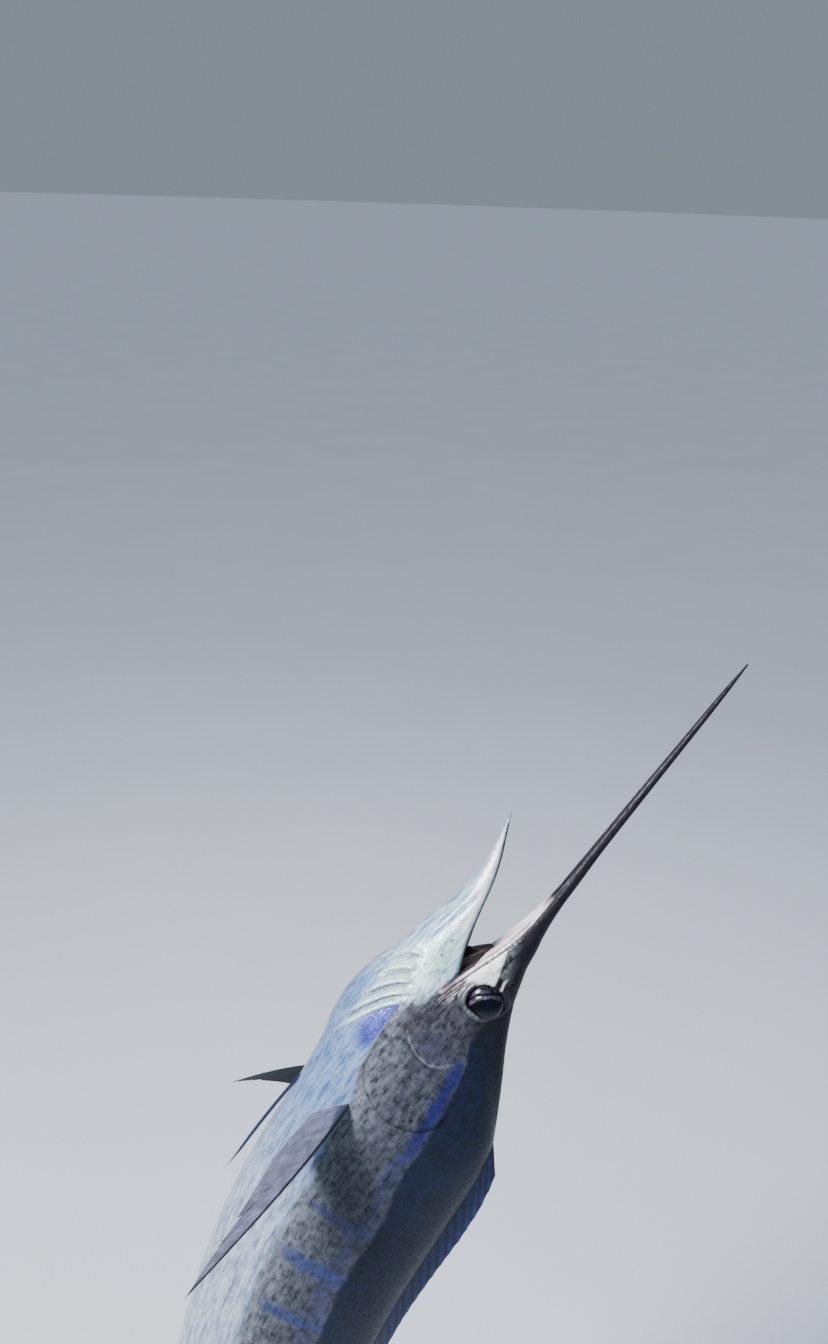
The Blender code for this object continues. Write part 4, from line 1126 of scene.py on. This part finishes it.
class MARLIN_OT_skin(Operator):
    """Make the one skin of bill, head, jaws, throat, trunk and tail stem."""
    bl_idname = "marlin.skin"
    bl_label = "Skin"

    def execute(self, context):
        material = skin_material(context.scene.marlin_skin)
        skin = fish_skin(material)
        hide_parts("bill", "head", "lower_jaw", "throat", "trunk_front", "trunk_mid",
                    "trunk_rear", "tail_stem")
        for side in ("left", "right"):
            cover = gill_cover(side, material)
            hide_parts("gill_cover_" + side)
        return {"FINISHED"}


class MARLIN_OT_face(Operator):
    """Make the eyes and the mouth's dark lining."""
    bl_idname = "marlin.face"
    bl_label = "Eyes and mouth"

    def execute(self, context):
        material = eye_material()
        for side in ("left", "right"):
            eye = eyeball(side, material)
            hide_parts("eye_" + side)
        lining = mouth_lining(lining_material())
        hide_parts("mouth_lining")
        return {"FINISHED"}


class MARLIN_OT_fins(Operator):
    """Make every fin with its rays."""
    bl_idname = "marlin.fins"
    bl_label = "Fins"

    def execute(self, context):
        look = context.scene.marlin_skin
        dark = fin_material("wet_dark_fin", "0C1230", "263263", "05060B", look)
        # The two side fins are one fin in life: the left is painted pale as lit and the right near
        # black as shaded
        pale = fin_material("wet_fin_painted_light", "1F202B", "777992", "0B0B12", look)
        black = fin_material("wet_fin_painted_shade", "07080C", "14151C", "030304", look, 0.2)
        made = [(pectoral("left", pale, 20), "pectoral_fin_left", "pale_fin_skin"),
                (pectoral("right", black, 20), "pectoral_fin_right", "pale_fin_skin"),
                (pelvic("left", dark), "pelvic_fin_left", "fin_skin"),
                (pelvic("right", dark), "pelvic_fin_right", "fin_skin"),
                (small_fin("dorsal_skin_second", 2.02, 0.075, 1, (0.095, 0.048), 0.62, dark, 6),
                 "dorsal_fin_second", "fin_skin"),
                (small_fin("anal_skin_second", 2.00, 0.080, -1, (0.095, 0.048), 0.62, dark, 6),
                 "anal_fin_second", "fin_skin"),
                (small_fin("anal_skin_first", 1.50, 0.24, -1, (0.150, 0.190), 0.92, dark, 15),
                 "anal_fin_first", "fin_skin"),
                (tail_lobe("upper", 1, dark, look.rays), "caudal_fin_upper", "fin_skin"),
                (tail_lobe("lower", -1, dark, look.rays), "caudal_fin_lower", "fin_skin")]
        for piece, node, slot in made:
            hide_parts(node)
        first = dorsal(dark, 40)
        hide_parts("dorsal_fin_first_front", "dorsal_fin_first_mid", "dorsal_fin_first_rear")
        return {"FINISHED"}


class MARLIN_OT_stand(Operator):
    """Finish the board and the two rods that hold the fish."""
    bl_idname = "marlin.stand"
    bl_label = "Stand"

    def execute(self, context):
        board = board_material(context.scene.marlin_stand)
        steel = steel_material()
        for node, material in (("stand_base", board), ("stand_rod_left", steel),
                               ("stand_rod_right", steel)):
            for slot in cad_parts[node].material_slots:
                slot.material = material
        return {"FINISHED"}


class MARLIN_OT_stage(Operator):
    """Make the floor, the soft lights and the camera."""
    bl_idname = "marlin.stage"
    bl_label = "Stage"

    def execute(self, context):
        look = context.scene.marlin_stage
        turn = np.linspace(0, 2 * pi, 181)[:-1]
        edge = table(FLOOR_RADIUS * np.cos(turn), FLOOR_RADIUS * np.sin(turn), -0.0005)
        mesh = bpy.data.meshes.new("floor")
        mesh.from_pydata(edge.tolist(), [], [list(range(len(edge)))])
        mesh.materials.append(floor_material(look))
        floor = bpy.data.objects.new("floor", mesh)
        context.scene.collection.objects.link(floor)
        # Soft lights: name, place, width, power and colour; only the key light shows in gloss
        lights = (("key", (-2.6, -1.6, 5.6), 1.6, look.key_power, "FAF9FF"),
                  ("fill", (3.4, -3.6, 3.2), 3.6, look.key_power * 0.12, "DCE8FF"),
                  ("back", (1.2, 3.8, 4.8), 3.0, look.key_power * 0.16, "E8F0FF"))
        for name, at, size, power, code in lights:
            lamp = bpy.data.lights.new(name, "AREA")
            lamp.shape = "DISK"
            lamp.size = size
            lamp.energy = power
            lamp.color = tone(code)
            obj = bpy.data.objects.new(name, lamp)
            obj.location = at
            obj.visible_glossy = name == "key"
            obj.rotation_euler = (LIGHTS_AIM - Vector(at)).to_track_quat("-Z", "Y").to_euler()
            context.scene.collection.objects.link(obj)
        above = bpy.data.lights.new("above", "SUN")
        above.energy = look.top_strength
        above.color = tone("DCE8FF")
        above.angle = radians(40)
        obj = bpy.data.objects.new("above", above)
        obj.visible_glossy = False
        context.scene.collection.objects.link(obj)
        world = bpy.data.worlds.new("studio")
        world.use_nodes = True
        sky = world.node_tree.nodes["Background"]
        sky.inputs["Color"].default_value = (*tone("C8D8E8"), 1)
        sky.inputs["Strength"].default_value = 0.40
        context.scene.world = world
        lens = bpy.data.cameras.new("camera")
        lens.sensor_width = CAMERA_SENSOR
        lens.lens = CAMERA_LENS
        lens.clip_start = 0.05
        lens.clip_end = 400
        eye = bpy.data.objects.new("camera", lens)
        turn = Matrix.Rotation(pi / 2 - CAMERA_TILT, 4, "X") @ Matrix.Rotation(CAMERA_ROLL, 4, "Z")
        eye.matrix_world = Matrix.Translation(CAMERA_AT) @ turn
        context.scene.collection.objects.link(eye)
        context.scene.camera = eye
        return {"FINISHED"}


class MARLIN_PT_panel(Panel):
    """Lists the marlin's pieces and their settings."""
    bl_idname = "MARLIN_PT_panel"
    bl_label = "Leaping marlin"
    bl_space_type = "VIEW_3D"
    bl_region_type = "UI"
    bl_category = "Marlin"

    def draw(self, context):
        scene = context.scene
        for look in (scene.marlin_skin, scene.marlin_stand, scene.marlin_stage):
            box = self.layout.box()
            for key in look.__annotations__:
                box.prop(look, key)
        for item in OPERATORS:
            self.layout.operator(item.bl_idname)


OPERATORS = (MARLIN_OT_skin, MARLIN_OT_face, MARLIN_OT_fins, MARLIN_OT_stand, MARLIN_OT_stage)
CLASSES = (SkinLook, StandLook, StageLook) + OPERATORS + (MARLIN_PT_panel,)


def register():
    for item in CLASSES:
        bpy.utils.register_class(item)
    bpy.types.Scene.marlin_skin = PointerProperty(type=SkinLook)
    bpy.types.Scene.marlin_stand = PointerProperty(type=StandLook)
    bpy.types.Scene.marlin_stage = PointerProperty(type=StageLook)


def unregister():
    del bpy.types.Scene.marlin_stage
    del bpy.types.Scene.marlin_stand
    del bpy.types.Scene.marlin_skin
    for item in reversed(CLASSES):
        bpy.utils.unregister_class(item)


def main():
    """Builds every piece."""
    register()
    bpy.ops.marlin.skin()
    bpy.ops.marlin.face()
    bpy.ops.marlin.fins()
    bpy.ops.marlin.stand()
    bpy.ops.marlin.stage()


if __name__ == "__main__":
    main()
